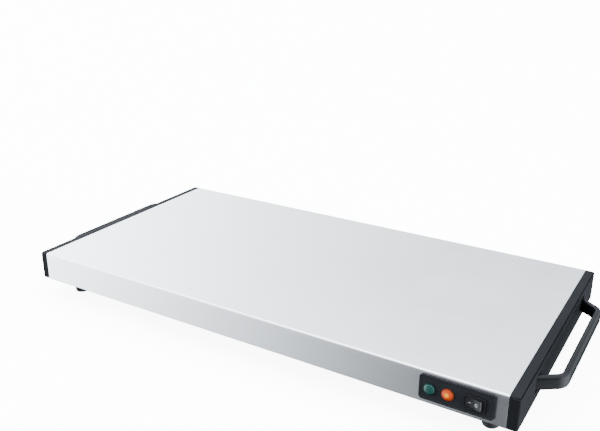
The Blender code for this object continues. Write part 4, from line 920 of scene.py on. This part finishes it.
class TRAY_OT_screws(TrayOperator, bpy.types.Operator):
    """Make the screws of the base plate"""
    bl_idname = "tray.screws"
    bl_label = "Screws"

    def execute(self, context):
        sizes = context.scene.tray_fasteners
        low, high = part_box("base_screw_rear_right")
        seat = low.z + sizes.head_height
        template = new_thing("screw_template", turned(self.profile(sizes, high.z - seat), 32))
        smooth_turned(merge(template, self.recess(sizes), "DIFFERENCE"), 30)
        at_the_corners("plate_screws", template, "base_screw_", seat, "zinc_steel")
        return {"FINISHED"}

    def profile(self, sizes, length):
        """A pan head below zero and a shank above."""
        reach, height = sizes.head_radius, sizes.head_height
        crown = [(reach * sin(a), -height / 3 - height * 2 / 3 * cos(a)) for a in quarter(8)]
        return [*crown, (reach, 0), (sizes.radius, 0), (sizes.radius, length - sizes.radius / 2),
                (sizes.radius / 2, length), (0, length)]

    def recess(self, sizes):
        """The cross that a driver fits, narrower at its floor."""
        half, reach = sizes.recess_width / 2, sizes.recess_reach
        arm = ((reach, -half), (reach, half), (half, half))
        turns = [Matrix.Rotation(i * pi / 2, 2) for i in range(4)]
        outline = [turn @ Vector(corner) for turn in turns for corner in arm]
        top = -sizes.head_height
        rings = [[(factor * x, factor * y, z) for x, y in outline]
                 for factor, z in ((1.1, top - touch_gap), (0.6, top + sizes.recess_depth))]
        return new_thing("recess", loft(rings))


class TRAY_OT_gland(TrayOperator, bpy.types.Operator):
    """Make the cord's inlet bush"""
    bl_idname = "tray.gland"
    bl_label = "Cord inlet"

    def execute(self, context):
        sizes = context.scene.tray_gland
        low, high, middle = extent("cord_gland")
        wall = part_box("top_cover")[1].y
        body = new_thing("inlet_bush", turned(self.profile(sizes, low.y - wall, high.y - wall)))
        round_outline = arc((0, 0), sizes.ridge_radius, 0, 2 * pi, 12)[:-1]
        ridge = new_thing("ridge_template", prism(
            round_outline, touch_gap + sizes.edge, touch_gap + sizes.flange - sizes.edge))
        ridges = ring_recipe().make("ridges", {
            "Template": ridge, "Count": sizes.ridges, "Radius": sizes.flange_radius - sizes.ridge_radius,
            "Finish": finishes["black_plastic"]})
        discard(ridge)
        merge(body, ridges)
        place = Matrix.Translation((middle.x, wall, middle.z))
        body.data.transform(place @ Matrix.Rotation(-pi / 2, 4, "X"))
        hand_over(smooth_turned(body), "black_plastic", ["cord_gland"])
        return {"FINISHED"}

    def profile(self, sizes, back, front):
        """A bush from inside the wall to its nose, with a rounded flange outside."""
        edge = sizes.edge
        flange = sizes.flange_radius - sizes.ridge_radius
        face = touch_gap + sizes.flange
        rim = arc((flange - edge, face - edge), edge, 0, pi / 2, 5)
        nose = arc((sizes.nose_radius - edge, front - edge), edge, 0, pi / 2, 5)
        mouth = arc((sizes.bore + edge, front - edge), edge, pi / 2, pi, 5)
        start = (sizes.bore, back)
        return [start, (sizes.neck_radius, back), (sizes.neck_radius, touch_gap), (flange, touch_gap),
                *rim, (sizes.nose_radius, face), *nose, *mouth, start]


class TRAY_OT_wool(TrayOperator, bpy.types.Operator):
    """Make the mineral wool over the reflector"""
    bl_idname = "tray.wool"
    bl_label = "Mineral wool"

    def execute(self, context):
        sizes = context.scene.tray_wool
        wool = new_thing("wool_slab", joined_copy("insulation_blanket"))
        remesh = wool.modifiers.new("cells", "REMESH")
        remesh.mode = "VOXEL"
        remesh.voxel_size = sizes.cell
        settle(wool)
        low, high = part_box("insulation_blanket")
        places = []
        for vertex in wool.data.vertices:
            height = noise.fractal(vertex.co / sizes.tuft, 1.0, 2.0, 3) / 2 + 0.5
            moved = vertex.co - vertex.normal * sizes.nap * min(1.0, max(0.0, height))
            places += [min(max(value, a), b) for value, a, b in zip(moved, low, high)]
        wool.data.vertices.foreach_set("co", places)
        wool.data.update()
        wool.data.shade_smooth()
        hand_over(wool, "mineral_wool", ["insulation_blanket"])
        return {"FINISHED"}


class TRAY_OT_inside(TrayOperator, bpy.types.Operator):
    """Make the pieces inside, which stay as the frame has them but for their edges"""
    bl_idname = "tray.inside"
    bl_label = "Pieces inside"

    def execute(self, context):
        width = context.scene.tray_shell.inner_edge
        for node, piece in frame["nodes"].items():
            if not piece.hide_render:
                softened(node, "fine_" + node, width)
        return {"FINISHED"}


class Surroundings(NodeTree):
    """Wide soft lights all round, as one brightness for each direction."""

    def __init__(self, studio):
        self.world = bpy.data.worlds.new("soft_surroundings")
        self.world.use_nodes = True
        self.tree = self.world.node_tree
        direction = self.add("ShaderNodeTexCoord").outputs["Generated"]
        x, y, z = self.add("ShaderNodeSeparateXYZ", {0: direction}).outputs
        horizon = studio.horizon_top
        lifted = self.fade(z, horizon / 3, horizon)
        lowered = self.fade(z, -horizon / 2, -horizon * 4 / 3)
        behind = self.fade(y, -0.3, 0.1)
        hidden = self.times(behind, self.math("SUBTRACT", 1.0, lifted))
        left = self.times(
            self.toward(self.times(x, -1.0), studio.left_falloff), self.math("SUBTRACT", 1.0, hidden),
            self.fade(z, studio.left_top / 2, studio.left_top, 1.0, studio.left_above))
        rear = self.times(
            self.toward(y, studio.rear_falloff), self.plus(lifted, self.times(lowered, studio.rear_floor)),
            self.fade(x, studio.gap_start, studio.gap_end, 1.0, 0.0))
        over = self.fade(z, studio.overhead_start, studio.overhead_end)
        right = self.times(
            self.toward(x, studio.right_falloff), self.fade(y, studio.right_start, studio.right_end))
        total = self.plus(
            self.times(left, studio.left_light), studio.fill, self.times(rear, studio.rear_light),
            self.times(over, studio.overhead_light), self.times(right, studio.right_light))
        background = self.tree.nodes["Background"]
        self.tree.links.new(total, background.inputs["Strength"])
        background.inputs["Color"].default_value = studio.light_colour

    def toward(self, value, falloff):
        """Full along one axis, and less away from it."""
        return self.math("POWER", self.math("MAXIMUM", value, 0.0), falloff)

    def fade(self, value, start, end, low=0.0, high=1.0):
        """A soft change from one number to another between two places."""
        return self.add("ShaderNodeMapRange", {
            "Value": value, "From Min": start, "From Max": end, "To Min": low, "To Max": high},
            interpolation_type="SMOOTHSTEP").outputs["Result"]


class TRAY_OT_studio(TrayOperator, bpy.types.Operator):
    """Make the pale floor, the soft lights and the camera"""
    bl_idname = "tray.studio"
    bl_label = "Studio"

    def execute(self, context):
        studio = context.scene.tray_studio
        colour = context.scene.tray_colours.floor
        finish = Finish("pale_floor", colour, 0.9, **{
            "Emission Color": shade(colour, 1), "Emission Strength": studio.floor_glow})
        half = studio.floor_half
        corners = [(-half, -half), (half, -half), (half, half), (-half, half)]
        ground = [(x, y, 0) for x, y in corners]
        self.backing("studio_floor", ground, [(0, 1, 2, 3)], finish)
        upper = [(x, y, studio.wall_height) for x, y in corners]
        sides = [(i, i + 4, (i + 1) % 4 + 4, (i + 1) % 4) for i in range(4)]
        self.backing("studio_walls", ground + upper, sides, finish).visible_shadow = False
        context.scene.world = Surroundings(studio).world
        data = bpy.data.cameras.new("photo_camera")
        data.lens = studio.lens
        data.sensor_width = 36
        camera = new_object("photo_camera", data)
        camera.location = studio.camera_place
        camera.rotation_euler = (pi / 2 - studio.camera_dip, 0, studio.camera_turn)
        context.scene.camera = camera
        return {"FINISHED"}

    def backing(self, name, points, faces, finish):
        """A pale sheet that is seen straight on, and lights nothing."""
        mesh = bpy.data.meshes.new(name)
        mesh.from_pydata(points, [], faces)
        mesh.materials.append(finish.material)
        sheet = new_object(name, mesh)
        sheet.visible_diffuse = False
        sheet.visible_glossy = False
        sheet.visible_transmission = False
        return sheet


class VIEW3D_PT_tray(bpy.types.Panel):
    """Buttons for each of the tray's pieces"""
    bl_label = "Warming Tray"
    bl_space_type = "VIEW_3D"
    bl_region_type = "UI"
    bl_category = "Warming Tray"

    def draw(self, context):
        for operator in operators:
            self.layout.operator(operator.bl_idname)


operators = (
    TRAY_OT_finishes, TRAY_OT_shells, TRAY_OT_handles, TRAY_OT_panel, TRAY_OT_lamps, TRAY_OT_switch,
    TRAY_OT_feet, TRAY_OT_screws, TRAY_OT_gland, TRAY_OT_wool, TRAY_OT_inside, TRAY_OT_studio)
groups = {
    "tray_colours": TrayColours, "tray_shell": TrayShell, "tray_handles": TrayHandles,
    "tray_lamps": TrayLamps, "tray_switch": TraySwitch, "tray_feet": TrayFeet,
    "tray_fasteners": TrayFasteners, "tray_gland": TrayGland, "tray_wool": TrayWool,
    "tray_studio": TrayStudio,
}
classes = (*groups.values(), *operators, VIEW3D_PT_tray)


def register():
    for item in classes:
        bpy.utils.register_class(item)
    for name, group in groups.items():
        setattr(bpy.types.Scene, name, PointerProperty(type=group))


def unregister():
    for name in groups:
        delattr(bpy.types.Scene, name)
    for item in reversed(classes):
        bpy.utils.unregister_class(item)


def main():
    register()
    bpy.ops.tray.finishes()
    bpy.ops.tray.shells()
    bpy.ops.tray.handles()
    bpy.ops.tray.panel()
    bpy.ops.tray.lamps()
    bpy.ops.tray.switch()
    bpy.ops.tray.feet()
    bpy.ops.tray.screws()
    bpy.ops.tray.gland()
    bpy.ops.tray.wool()
    bpy.ops.tray.inside()
    bpy.ops.tray.studio()


if __name__ == "__main__":
    main()
